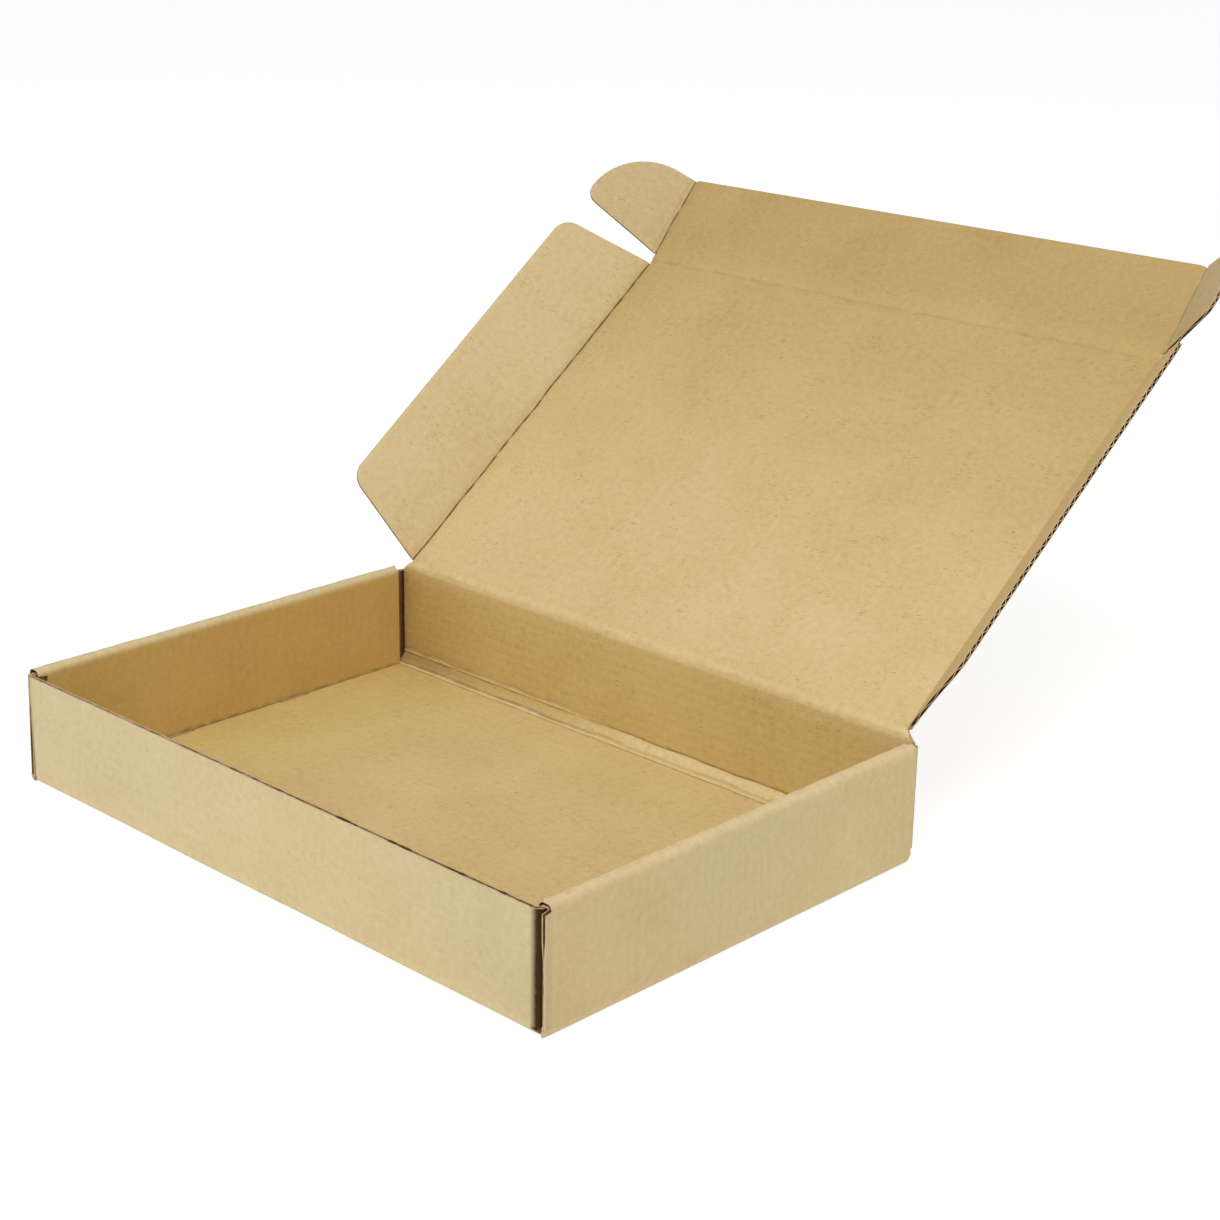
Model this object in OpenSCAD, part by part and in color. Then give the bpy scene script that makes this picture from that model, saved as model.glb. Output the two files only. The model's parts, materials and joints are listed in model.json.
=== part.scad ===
// Roll-over-side mailer box, folded from one blank of corrugated board and standing open.
// The origin is the middle of the tray's underside: X to the right, Y to the back, Z up.

/* [Box] */
// Outer width along the front wall
box_w = 240; // [200:1:300]
// Outer depth from the front wall to the back wall
box_d = 160.6; // [150:0.2:200]
// Height of the side walls' ledges above the table
box_h = 38.7; // [36:0.1:48]

/* [Board] */
// Thickness of the board
board = 1.6; // [1.4:0.1:1.8]
// Thickness of each outer paper
liner = 0.2; // [0.15:0.05:0.25]
// Distance from one flute to the next
flute_pitch = 3.39; // [3.2:0.01:3.8]
// Inside radius of a right-angled fold
fold_r = 0.4; // [0.3:0.1:0.6]
// Room between two layers that lie together
layer_gap = 0.25; // [0.2:0.05:0.4]
// Room between the two sides of a crease that turns
crease_gap = 0.3; // [0.3:0.05:0.5]

/* [Tray] */
// Room between the walls' ears and the ledge above them
ear_room = 0.4; // [0.3:0.1:1]
// Rise of the doubled crease along the back wall's foot
back_crease = 4.2; // [3:0.1:6]
// Distance from a ledge's front end to the front wall
ledge_setback = 0.6; // [0.4:0.1:3]
// Distance from a side wall's back edge to the box's back
side_setback = 4.4; // [3.6:0.1:5]
// Length cut off a side wall's lower back corner
corner_cut = 2.6; // [2.6:0.1:5]
// Distance from an inner side panel's end to the wall it faces
panel_setback = 4; // [3:0.5:8]
// Length of the ears held inside the side walls
wall_ear = 60; // [40:1:65]
// Width of a lock tab
tab_w = 12; // [8:0.5:16]
// Distance of a lock tab from the middle of the side wall
tab_place = 25; // [15:1:40]
// Room around a lock tab in its slot
slot_room = 0.4; // [0.3:0.1:0.8]

/* [Lid] */
// Angle of the lid, measured from closed
lid_angle = 143; // [100:1:170]
// Distance from an inner side panel to the lid's side crease
flap_inset = 1.5; // [1.5:0.1:3]
// Length of the dust flaps
flap_len = 37; // [26:0.5:37]
// Fold of the left dust flap, measured from flat
left_flap_fold = 54; // [30:0.5:85]
// Fold of the right dust flap, measured from flat
right_flap_fold = 51.5; // [30:0.5:85]
// Slant of the dust flaps' ends
flap_slant = 15; // [8:1:20]
// Corner radius of the dust flaps
flap_corner = 8; // [4:0.5:12]
// Distance from a dust flap's ends to the lid's creases
flap_end = 1.4; // [1.2:0.1:3]

/* [Tuck flap] */
// Length of the tuck flap
tuck_len = 37.5; // [34:0.5:37.5]
// Fold of the tuck flap, measured from flat
tuck_fold = 11.5; // [0:0.5:30]
// Room between the closed tuck flap and the front wall
tuck_room = 0.1; // [0.1:0.1:1.5]
// Distance that the tuck flap's ends stand outside the lid's side creases
ear_offset = 0.4; // [0.2:0.1:0.6]
// Fold of the left lock ear, measured from flat
left_ear_fold = 46; // [20:1:80]
// Fold of the right lock ear, measured from flat
right_ear_fold = 46; // [20:1:80]
// Length of the lock ears
ear_reach = 34.5; // [28:0.5:36]
// Radius of the lock ears' round edge
ear_round = 26.5; // [24:0.5:28]
// Radius of the lock ears' corner
ear_corner = 5; // [3:0.5:8]
// Distance from the tuck crease to a lock ear's straight edge
ear_start = 3.3; // [3.2:0.1:5]
// Slant of a lock ear's straight edge
ear_slant = 11; // [9:0.5:14]

/* [Hidden] */
$fn = 48;
e = 0.01;

half_w = box_w / 2;
half_d = box_d / 2;
half_board = board / 2;
bend = fold_r + board;

// Side wall, from outside in: outer panel, wall ear, inner panel
ear_face = half_w - board - layer_gap;
panel_face = ear_face - 2 * board - layer_gap;
panel_foot = board + crease_gap;
side_back = half_d - side_setback;
ledge_front = -half_d + board + ledge_setback;
panel_front = -half_d + board + panel_setback;
panel_back = half_d - board - panel_setback;

// Front and back walls; the back wall's foot turns up twice by the same angle
flat_wall = ear_face - bend;
ear_top = box_h - board - ear_room;
back_turn = 45;
back_mitre = board * tan(back_turn / 2);
back_foot = back_crease + back_mitre;

// Hinge of the lid, in the middle of the back wall's thickness and just clear of the ledges
hinge_y = half_d - half_board;
hinge_z = box_h + half_board + crease_gap;
hinge_room = crease_gap + crease_gap / 2;
back_top = hinge_z - half_board - hinge_room;
lid_len = box_d - 2 * board - tuck_room;
flap_crease = panel_face - flap_inset;
ear_crease = flap_crease + ear_offset;

// Distance that a panel stops short of a crease at its edge, and the bevels that let the fold turn
cut_back = half_board + crease_gap;
deep_bevel = cut_back;
small_bevel = crease_gap;

// Open flutes: circular segments that stand on one liner and reach most of the way to the other
flute_roof = half_board - liner;
flute_w_share = 0.65;
flute_depth_share = 0.71;
flute_w = flute_w_share * flute_pitch;
flute_depth = flute_depth_share * 2 * flute_roof;
flute_round = (flute_w * flute_w / 4 + flute_depth * flute_depth) / (2 * flute_depth);
flute_stop = 3;

// Split that a raw edge shows between its two liners
split_w = 0.6;
split_depth = 0.9;

kraft_out = "#D0BC8D";
kraft_in = "#CFB784";
kraft_flap = "#BFA06A";

// Points along an arc about a centre, from one angle to another
function arc(centre, radius, from, to, steps = 10) =
    [for (i = [0:steps]) let (a = from + (to - from) * i / steps) centre + radius * [cos(a), sin(a)]];

// A profile given in Y and Z, drawn out along X
module along_x(from, to) {
    translate([from, 0, 0]) rotate([90, 0, 90]) linear_extrude(to - from) children();
}

// A profile given in X and Z, drawn out along Y
module along_y(from, to) {
    translate([0, to, 0]) rotate([90, 0, 0]) linear_extrude(to - from) children();
}

// The child and its mirror image across the middle of the box
module both_sides() {
    children();
    mirror([1, 0, 0]) children();
}

// Section of a right-angled fold, in the first quarter
module fold_section() {
    intersection() {
        difference() {
            circle(bend);
            circle(fold_r);
        }
        square(bend);
    }
}

// Outer panel of the right side wall, with its lower back corner cut off and its front edge split
module outer_panel() {
    difference() {
        along_y(-half_d, side_back) translate([half_w - board, bend]) square([board, box_h - 2 * bend]);
        along_x(half_w - 2 * board, half_w + e)
            polygon([[side_back - corner_cut, 0], [side_back + e, corner_cut + e], [side_back + e, 0]]);
        translate([half_w - half_board - split_w / 2, -half_d - e, 2 * bend])
            cube([split_w, split_depth, box_h - 4 * bend]);
    }
    along_y(-half_d + crease_gap, side_back - corner_cut)
        translate([half_w - bend, bend]) rotate(-90) fold_section();
}

// Ledge over the right side wall: it turns over at the outer panel and down at the inner one
module ledge() {
    along_y(ledge_front, side_back)
        translate([half_w - bend, box_h - bend]) fold_section();
    along_y(ledge_front, panel_back) {
        translate([panel_face + bend, box_h - board]) square([half_w - bend - panel_face - bend, board]);
        translate([panel_face + bend, box_h - bend]) rotate(90) fold_section();
    }
}

// Inner panel of the right side wall, with two lock tabs that go down into the floor
module inner_panel() {
    along_y(panel_front, panel_back)
        translate([panel_face, panel_foot]) square([board, box_h - bend - panel_foot]);
    for (place = [-tab_place, tab_place])
        translate([panel_face, place - tab_w / 2, liner]) cube([board, tab_w, panel_foot]);
}

// Slots in the floor for the right side wall's lock tabs
module tab_slots() {
    for (place = [-tab_place, tab_place])
        translate([panel_face - slot_room, place - tab_w / 2 - slot_room, -e])
            cube([board + 2 * slot_room, tab_w + 2 * slot_room, board + 2 * e]);
}

// Floor, up to the folds around it
module floor_panel() {
    difference() {
        translate([-half_w + bend, -half_d + bend, 0])
            cube([box_w - 2 * bend, box_d - bend - back_crease - back_mitre, board]);
        both_sides() tab_slots();
    }
}

// Plan of the front wall with the two ears that turn back inside the side walls
module wall_plan() {
    translate([-flat_wall, -half_d]) square([2 * flat_wall, board]);
    both_sides() {
        translate([flat_wall, -half_d + bend]) rotate(-90) fold_section();
        translate([ear_face - board, -half_d + bend]) square([board, wall_ear]);
    }
}

// Front wall: folded up from the floor, its top edge split between the liners
module front_wall() {
    along_x(-flat_wall, flat_wall) translate([-half_d + bend, bend]) rotate(180) fold_section();
    difference() {
        translate([0, 0, bend]) linear_extrude(ear_top - bend) wall_plan();
        translate([-flat_wall, -half_d + half_board - split_w / 2, ear_top - split_depth])
            cube([2 * flat_wall, split_w, split_depth + e]);
    }
}

// Back wall: it rises over a doubled crease and carries the lid
module back_wall() {
    along_x(-flat_wall, flat_wall) polygon([
        [half_d - back_crease - bend, 0],
        [half_d - back_crease, 0],
        [half_d, back_crease],
        [half_d, back_foot],
        [half_d - board, back_foot],
        [half_d - back_crease - back_mitre, board],
        [half_d - back_crease - bend, board]
    ]);
    translate([0, 0, back_foot]) linear_extrude(ear_top - back_foot) mirror([0, 1]) wall_plan();
    translate([-flat_wall, half_d - board, ear_top]) cube([2 * flat_wall, board, back_top - ear_top]);
}

// Section of a flat panel: a round crease at the start, and an edge bevelled on the inner face
module panel_section(length, bevel) {
    circle(half_board);
    polygon([
        [0, -half_board],
        [length, -half_board],
        [length, half_board - bevel],
        [length - bevel, half_board],
        [0, half_board]
    ]);
}

// Section across a flat panel with both side edges bevelled on the inner face
module cross_section(half_width, bevel) {
    polygon([
        [-half_width, -half_board],
        [half_width, -half_board],
        [half_width, half_board - bevel],
        [half_width - bevel, half_board],
        [bevel - half_width, half_board],
        [-half_width, half_board - bevel]
    ]);
}

// One open flute, hanging from the inner face of the upper liner
module flute() {
    intersection() {
        translate([0, flute_roof - flute_depth + flute_round]) circle(flute_round);
        translate([-flute_w, -half_board]) square([2 * flute_w, half_board + flute_roof]);
    }
}

// Row of flutes between two places, alternately on the upper and the lower liner
module flute_row(from, to) {
    first = from + flute_pitch / 2;
    count = floor((to - first) / flute_pitch);
    for (i = [0:count - 1])
        translate([first + i * flute_pitch, 0]) {
            flute();
            translate([flute_pitch / 2, 0]) mirror([0, 1]) flute();
        }
}

// Board cut to an outline in X and Y, round at the crease on X = 0, its flutes open at the far edge
module fluted_board(outline, from, to, reach) {
    difference() {
        union() {
            translate([0, 0, -half_board]) linear_extrude(board) polygon(outline);
            translate([0, from, 0]) rotate([-90, 0, 0]) cylinder(h = to - from, r = half_board);
        }
        along_x(flute_stop, reach + flute_stop) flute_row(from, to);
    }
}

// Places on the lid and the tuck flap: Y runs away from the hinge, Z points to the inner face
module on_lid() {
    translate([0, hinge_y, hinge_z]) rotate([180 - lid_angle, 0, 0]) children();
}

module on_tuck() {
    on_lid() translate([0, lid_len, 0]) rotate([tuck_fold, 0, 0]) children();
}

// Place of a panel folded about a crease on the right (1) or the left (-1)
module on_crease(side, crease, fold) {
    mirror([side < 0 ? 1 : 0, 0, 0]) translate([crease, 0, 0]) rotate([0, -fold, 0]) children();
}

// Dust flap: slanted ends, round corners, and open flutes along the free edge
module dust_flap() {
    from = flap_end;
    to = lid_len - flap_end;
    reach = flap_len - flap_corner;
    first = from + reach * tan(flap_slant) + flap_corner / cos(flap_slant);
    last = to - reach * tan(flap_slant) - flap_corner / cos(flap_slant);
    outline = concat(
        [[0, from]],
        arc([reach, first], flap_corner, flap_slant - 90, 0),
        arc([reach, last], flap_corner, 0, 90 - flap_slant),
        [[0, to]]
    );
    fluted_board(outline, from, to, flap_len);
}

// Lock ear: a straight slanted edge towards the lid, a small corner, then one round edge
module lock_ear() {
    to = tuck_len - crease_gap;
    centre = [ear_reach - ear_round, to - ear_round];
    along = [cos(ear_slant), sin(ear_slant)];
    offset_start = [0, ear_start] + ear_corner * [-sin(ear_slant), cos(ear_slant)] - centre;
    lead = offset_start * along;
    inner = ear_round - ear_corner;
    slide = sqrt(lead * lead - offset_start * offset_start + inner * inner) - lead;
    corner = offset_start + slide * along;
    turn = atan2(corner[1], corner[0]);
    outline = concat(
        [[0, ear_start]],
        arc(centre + corner, ear_corner, ear_slant - 90, turn),
        arc(centre, ear_round, turn, 90, 20),
        [[0, to]]
    );
    fluted_board(outline, ear_start, to, ear_reach);
}

module tray() {
    color(kraft_out) {
        floor_panel();
        front_wall();
        back_wall();
        both_sides() {
            outer_panel();
            ledge();
            inner_panel();
        }
    }
}

module lid() {
    color(kraft_in) on_lid() intersection() {
        along_x(-half_w, half_w) panel_section(lid_len - cut_back, small_bevel);
        along_y(-board, lid_len) cross_section(flap_crease - cut_back, deep_bevel);
    }
}

module tuck_flap() {
    color(kraft_flap) on_tuck() difference() {
        intersection() {
            along_x(-half_w, half_w) panel_section(tuck_len, small_bevel);
            along_y(-board, tuck_len) cross_section(ear_crease - cut_back, small_bevel);
        }
        translate([-half_w, tuck_len - split_depth, -split_w / 2]) cube([box_w, split_depth + e, split_w]);
    }
}

module left_dust_flap() {
    color(kraft_flap) on_lid() on_crease(-1, flap_crease, left_flap_fold) dust_flap();
}

module right_dust_flap() {
    color(kraft_flap) on_lid() on_crease(1, flap_crease, right_flap_fold) dust_flap();
}

module left_lock_ear() {
    color(kraft_flap) on_tuck() on_crease(-1, ear_crease, left_ear_fold) lock_ear();
}

module right_lock_ear() {
    color(kraft_flap) on_tuck() on_crease(1, ear_crease, right_ear_fold) lock_ear();
}

tray();
lid();
tuck_flap();
left_dust_flap();
right_dust_flap();
left_lock_ear();
right_lock_ear();
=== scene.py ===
"""Dresses the folded mailer box: every panel of its blank becomes a sheet of corrugated board.

The board is worked out in the plan of the flat blank, in millimetres, and walked through its folds.
The same plan is the UV map of every piece, so that the paper's fibres run on across each crease.
"""

from __future__ import annotations

import json
import logging
import math
from abc import ABC, abstractmethod
from dataclasses import dataclass, field
from enum import Enum, IntEnum
from typing import Any

import bpy
import numpy as np
from mathutils import Matrix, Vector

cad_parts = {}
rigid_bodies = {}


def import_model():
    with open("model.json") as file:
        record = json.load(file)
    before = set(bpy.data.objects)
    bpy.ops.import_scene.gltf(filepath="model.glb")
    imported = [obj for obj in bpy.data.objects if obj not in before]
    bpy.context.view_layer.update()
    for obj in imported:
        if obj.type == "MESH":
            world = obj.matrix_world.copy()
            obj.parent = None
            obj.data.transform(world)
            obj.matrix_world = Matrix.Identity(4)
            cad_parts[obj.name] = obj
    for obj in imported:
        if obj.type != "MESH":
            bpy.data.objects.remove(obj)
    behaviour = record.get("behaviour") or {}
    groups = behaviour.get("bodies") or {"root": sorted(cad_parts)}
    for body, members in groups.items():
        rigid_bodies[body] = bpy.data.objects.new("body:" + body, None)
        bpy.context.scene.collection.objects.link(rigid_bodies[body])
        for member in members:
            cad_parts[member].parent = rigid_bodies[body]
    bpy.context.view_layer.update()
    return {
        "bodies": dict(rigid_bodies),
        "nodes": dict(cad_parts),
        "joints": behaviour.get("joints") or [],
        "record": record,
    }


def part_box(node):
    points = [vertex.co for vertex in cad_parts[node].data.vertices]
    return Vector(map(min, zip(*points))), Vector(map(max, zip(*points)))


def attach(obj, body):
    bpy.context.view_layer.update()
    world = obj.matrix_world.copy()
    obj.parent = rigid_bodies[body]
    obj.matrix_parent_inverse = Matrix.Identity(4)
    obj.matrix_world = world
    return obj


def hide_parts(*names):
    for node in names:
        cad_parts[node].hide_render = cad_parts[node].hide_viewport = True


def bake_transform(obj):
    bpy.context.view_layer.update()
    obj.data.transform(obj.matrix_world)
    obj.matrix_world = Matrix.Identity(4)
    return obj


LOG = logging.getLogger("mailer_box")
MM = 0.001
IMAGE_PX = 1220
SENSOR_MM = 36.0
TINY = 1e-6
PLAN_MAP = "Blank"
# Vertex mark of paler wear along folds; it also paints the highlight on ledges, ridges and rolls.
WEAR_AND_HIGHLIGHT_MARK = "fold"
# Vertex mark of painted shade: near-black in creases, gaps and the front corners, where shade falls.
PAINTED_SHADE_MARK = "score"

Array = np.ndarray
Colour = tuple[float, float, float]
X_AXIS, Y_AXIS, Z_AXIS = np.eye(3)
NOWHERE = np.zeros(3)
# Spans of a painted tint that has grown before the blank's start, and of one that never fades on it.
FROM_START = (-2.0, -1.0)
TO_END = (1000.0, 999.0)


class Side(IntEnum):
    """The two mirrored sides of the box, as the sign of X."""

    LEFT = -1
    RIGHT = 1

    @property
    def word(self) -> str:
        """The side's name in piece names."""
        return self.name.lower()


class Paper(IntEnum):
    """The four papers of the board, as the material slots of every piece."""

    OUTER = 0
    INNER = 1
    CUT = 2
    # The fluted paper, also on the split's inner walls; its colour is darkened as painted shade.
    MEDIUM = 3


class Slot(Enum):
    """The record's material slots."""

    TRAY = "tray_board"
    LID = "lid_board"
    FLAP = "flap_board"


class Space(Enum):
    """Dimensions of a noise's coordinates."""

    FLAT = "2D"
    SOLID = "3D"


class Blend(Enum):
    """Ways to lay one colour over another."""

    COVER = "MIX"
    TINT = "MULTIPLY"


class Seed(IntEnum):
    """Seeds of the random waves, each the first of a few for its place on the box."""

    SLACK = 11
    FRONT_EDGE = 31
    FOOT_FIRST = 41
    FOOT_LAST = 43
    FOOT_BEAD = 45
    FOOT_SECOND = 47
    FOOT_DEPTH = 49
    FOOT_WRINKLE = 51
    HINGE_ROLL = 61
    TUCK_CREASE = 71
    TUCK_PRESS = 73
    TUCK_EDGE = 81
    EAR_EDGE = 91
    LEFT_WALL = 101
    LEFT_UPRIGHT = 103
    RIGHT_UPRIGHT = 105
    RIGHT_WALL = 131
    LEFT_FLAP = 199
    RIGHT_FLAP = 201
    LEFT_EAR = 219
    RIGHT_EAR = 221


def waves(x: Array, y: Array | float, seed: int, length: float, count: int = 9) -> Array:
    """Smooth noise of about -1 to 1: random plane waves, summed and divided by the root of their number.

    Args:
        x: First coordinate, in millimetres.
        y: Second coordinate, of a shape that goes with x.
        seed: Seed of the headings, phases and lengths.
        length: Typical wavelength, in millimetres.
        count: Number of waves.

    Returns:
        The noise, in the shape of x and y together.
    """
    rng = np.random.default_rng(seed)
    heading = rng.uniform(0, 2 * np.pi, count)
    phase = rng.uniform(0, 2 * np.pi, count)
    number = 2 * np.pi / (length * rng.uniform(0.6, 1.7, count))
    across, along = np.broadcast_arrays(np.asarray(x, float), np.asarray(y, float))
    angle = across[..., None] * number * np.cos(heading) + along[..., None] * number * np.sin(heading)
    return np.sin(angle + phase).sum(-1) / math.sqrt(count)


def wander(x: Array, seed: int, length: float, count: int = 8) -> Array:
    """Smooth noise of about -1 to 1 along one line: random sines over the root of their number.

    Args:
        x: Places along the line, in millimetres.
        seed: Seed of the lengths and phases.
        length: Typical wavelength, in millimetres.
        count: Number of sines.

    Returns:
        The noise, in the shape of x.
    """
    rng = np.random.default_rng(seed)
    number = 2 * np.pi / (length * rng.uniform(0.5, 1.8, count))
    phase = rng.uniform(0, 2 * np.pi, count)
    return np.sin(np.asarray(x, float)[..., None] * number + phase).sum(-1) / math.sqrt(count)


def hump(x: Array, middle: Array | float, width: float) -> Array:
    """A bell curve of height 1: exp of minus the squared distance from the middle, over width squared."""
    return np.exp(-(((x - middle) / width) ** 2))


def ease(x: Array, low: float, high: float) -> Array:
    """Smooth step from 0 at low to 1 at high: 3t^2 - 2t^3."""
    t = np.clip((x - low) / (high - low), 0, 1)
    return t * t * (3 - 2 * t)


def stations(breaks: list[float], step: float) -> Array:
    """Even places between neighbouring breaks, each break among them.

    Args:
        breaks: Places that the row has to hold, in order.
        step: Largest distance between two places.

    Returns:
        The places, in order.
    """
    runs = []
    for first, last in zip(breaks[:-1], breaks[1:]):
        count = max(2, math.ceil((last - first) / step) + 1)
        runs.append(np.linspace(first, last, count)[:-1])
    return np.concatenate([*runs, [breaks[-1]]])


def squeezed(row: Array, low: Array, high: Array, margin: float) -> Array:
    """One row of places for each pair of ends; an end's move fades out with the square over the margin.

    Args:
        row: Places of a full row.
        low: First end of each row.
        high: Last end of each row.
        margin: Length over which the places give way.

    Returns:
        Places, one line per row.
    """
    near_low = np.clip((row[0] + margin - row) / margin, 0, 1) ** 2
    near_high = np.clip((row - row[-1] + margin) / margin, 0, 1) ** 2
    return row + np.outer(low - row[0], near_low) + np.outer(high - row[-1], near_high)


@dataclass(frozen=True)
class Board:
    """Make-up of the corrugated board, in millimetres.

    Where a raw edge is shut, its split has the shut half-width and depth.
    """

    thickness: float = 1.6
    liner: float = 0.2
    medium: float = 0.26
    medium_start: float = 0.1
    pitch: float = 3.39
    flute_depth: float = 3.2
    crush: float = 0.17
    shut_gap: float = 0.03
    shut_depth: float = 0.05

    @property
    def half(self) -> float:
        """Half of the thickness."""
        return self.thickness / 2

    @property
    def open_gap(self) -> float:
        """Half of the room between the two liners."""
        return self.half - self.liner

    def wave(self, along: Array) -> Array:
        """Share of the medium's height: a sine along the blank, from -1 to 1."""
        return np.sin(2 * np.pi * along / self.pitch)


BOARD = Board()


@dataclass
class Walk:
    """A section walked as the board is folded: straight runs and round turns of the board's middle.

    A run goes straight along the heading. A turn by an angle follows a circle of its radius, to the left
    where the angle is positive, and the heading turns with it.
    """

    place: tuple[float, float]
    heading: float
    points: list[Array] = field(default_factory=list)
    headings: list[Array] = field(default_factory=list)
    lengths: list[Array] = field(default_factory=list)
    length: float = 0.0

    def __post_init__(self) -> None:
        """Starts the walk with its first point."""
        self._keep(np.array([self.place], float), np.array([self.heading]), np.array([0.0]))

    def _keep(self, points: Array, headings: Array, lengths: Array) -> None:
        """Adds stations to the walk and moves to the last of them.

        Args:
            points: Places of the stations.
            headings: Headings there, in degrees.
            lengths: Lengths walked up to there.
        """
        self.points.append(points)
        self.headings.append(headings)
        self.lengths.append(lengths)
        self.place = tuple(points[-1])
        self.heading = float(headings[-1])
        self.length = float(lengths[-1])

    def straight(self, distances: Array) -> Walk:
        """Goes straight on, with a station at each distance.

        Args:
            distances: Distances from where the walk stands, in order.

        Returns:
            The walk itself.
        """
        a = math.radians(self.heading)
        points = np.array(self.place) + distances[:, None] * np.array([math.cos(a), math.sin(a)])
        self._keep(points, np.full(len(distances), self.heading), self.length + distances)
        return self

    def run(self, length: float, step: float) -> Walk:
        """Goes straight on for a length, with even stations no further apart than a step."""
        return self.straight(stations([0.0, length], step)[1:])

    def turn(self, angle: float, radius: float, steps: int) -> Walk:
        """Turns along a circle.

        Args:
            angle: Turn in degrees, positive to the left.
            radius: Radius of the board's middle.
            steps: Number of stations.

        Returns:
            The walk itself.
        """
        share = np.linspace(0, 1, steps + 1)[1:]
        start, side = math.radians(self.heading), math.copysign(1.0, angle)
        centre = np.array(self.place) + side * radius * np.array([-math.sin(start), math.cos(start)])
        a = start + np.radians(angle) * share
        points = centre + side * radius * np.stack([np.sin(a), -np.cos(a)], 1)
        self._keep(points, np.degrees(a), self.length + radius * abs(math.radians(angle)) * share)
        return self

    def between(self, first: float, last: float) -> Section:
        """The stretch of the walk between two lengths, both of them stations.

        Args:
            first: Length at the stretch's start.
            last: Length at its end.

        Returns:
            The stretch.
        """
        lengths = np.concatenate(self.lengths)
        held = (lengths > first - TINY) & (lengths < last + TINY)
        a = np.radians(np.concatenate(self.headings)[held])
        normals = np.stack([-np.sin(a), np.cos(a)], 1)
        return Section(np.concatenate(self.points)[held], normals, lengths[held])


@dataclass(frozen=True)
class Section:
    """Stations of a walk: places, normals towards the inner paper, and lengths walked."""

    points: Array
    normals: Array
    lengths: Array


@dataclass(frozen=True)
class Place:
    """Axes that carry a section into the box: two of the section's plane, and one along the rows."""

    origin: Array
    first: Array
    second: Array
    along: Array

    def sheet(self, section: Section, rows: Array) -> tuple[Array, Array]:
        """Carries a section along the rows: origin + p first + q second + t along.

        Args:
            section: The section.
            rows: Places along the rows, one line per station of the section.

        Returns:
            The middle points of the sheet, and its normals.
        """
        flat = section.points @ np.stack([self.first, self.second]) + self.origin
        up = section.normals @ np.stack([self.first, self.second])
        middle = flat[:, None, :] + rows[..., None] * self.along
        return middle, np.broadcast_to(up[:, None, :], middle.shape)


def quads(grid: Array) -> Array:
    """The four corners of each cell of a grid of vertex numbers."""
    return np.stack([grid[:-1, :-1], grid[1:, :-1], grid[1:, 1:], grid[:-1, 1:]], -1)


def rim(grid: Array) -> Array:
    """The vertex numbers round a grid, once round."""
    return np.concatenate([grid[0, :-1], grid[:-1, -1], grid[-1, :0:-1], grid[:0:-1, 0]])


def closed(rings: Array) -> Array:
    """A row of vertex numbers that ends where it starts."""
    return np.concatenate([rings, rings[:1]])


@dataclass(frozen=True)
class RawEdge:
    """Stations along a raw edge: middle points, normals, directions inward, and the split's size."""

    place: Array
    up: Array
    inward: Array
    gap: Array
    depth: Array

    def split(self) -> list[Array]:
        """Points of the split: its inner lip, in to its depth, across, and back out to its outer lip."""
        corners = ((1, 0), (1, 1), (-1, 1), (-1, 0))
        return [self.place + self.up * self.gap * s + self.inward * self.depth * d for s, d in corners]

    def medium(self, run: slice, along: Array) -> tuple[Array, Array, Array]:
        """The fluted paper in the open edge: a ribbon at the sine's height, from just inside to the depth.

        Args:
            run: The stations that it runs along.
            along: Places along the blank, which set the sine's phase.

        Returns:
            The ribbon's points, four to a station, the faces of its cut edge, and the other faces.
        """
        half, start, depth = BOARD.medium / 2, BOARD.medium_start, self.depth[run]
        height = BOARD.wave(along[run])[:, None] * (self.gap[run] - half)
        corners = [
            self.place[run] + self.up[run] * (height + s * half) + self.inward[run] * d
            for s, d in ((1, start), (-1, start), (-1, depth), (1, depth))
        ]
        ring = np.arange(4 * len(height)).reshape(-1, 4)
        body = quads(np.concatenate([ring, ring[:, :1]], 1))
        ends = np.stack([ring[0], ring[-1, ::-1]])
        points = np.stack(corners, 1).reshape(-1, 3)
        return points, body[:, 0], np.concatenate([body[:, 1:].reshape(-1, 4), ends])


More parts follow.
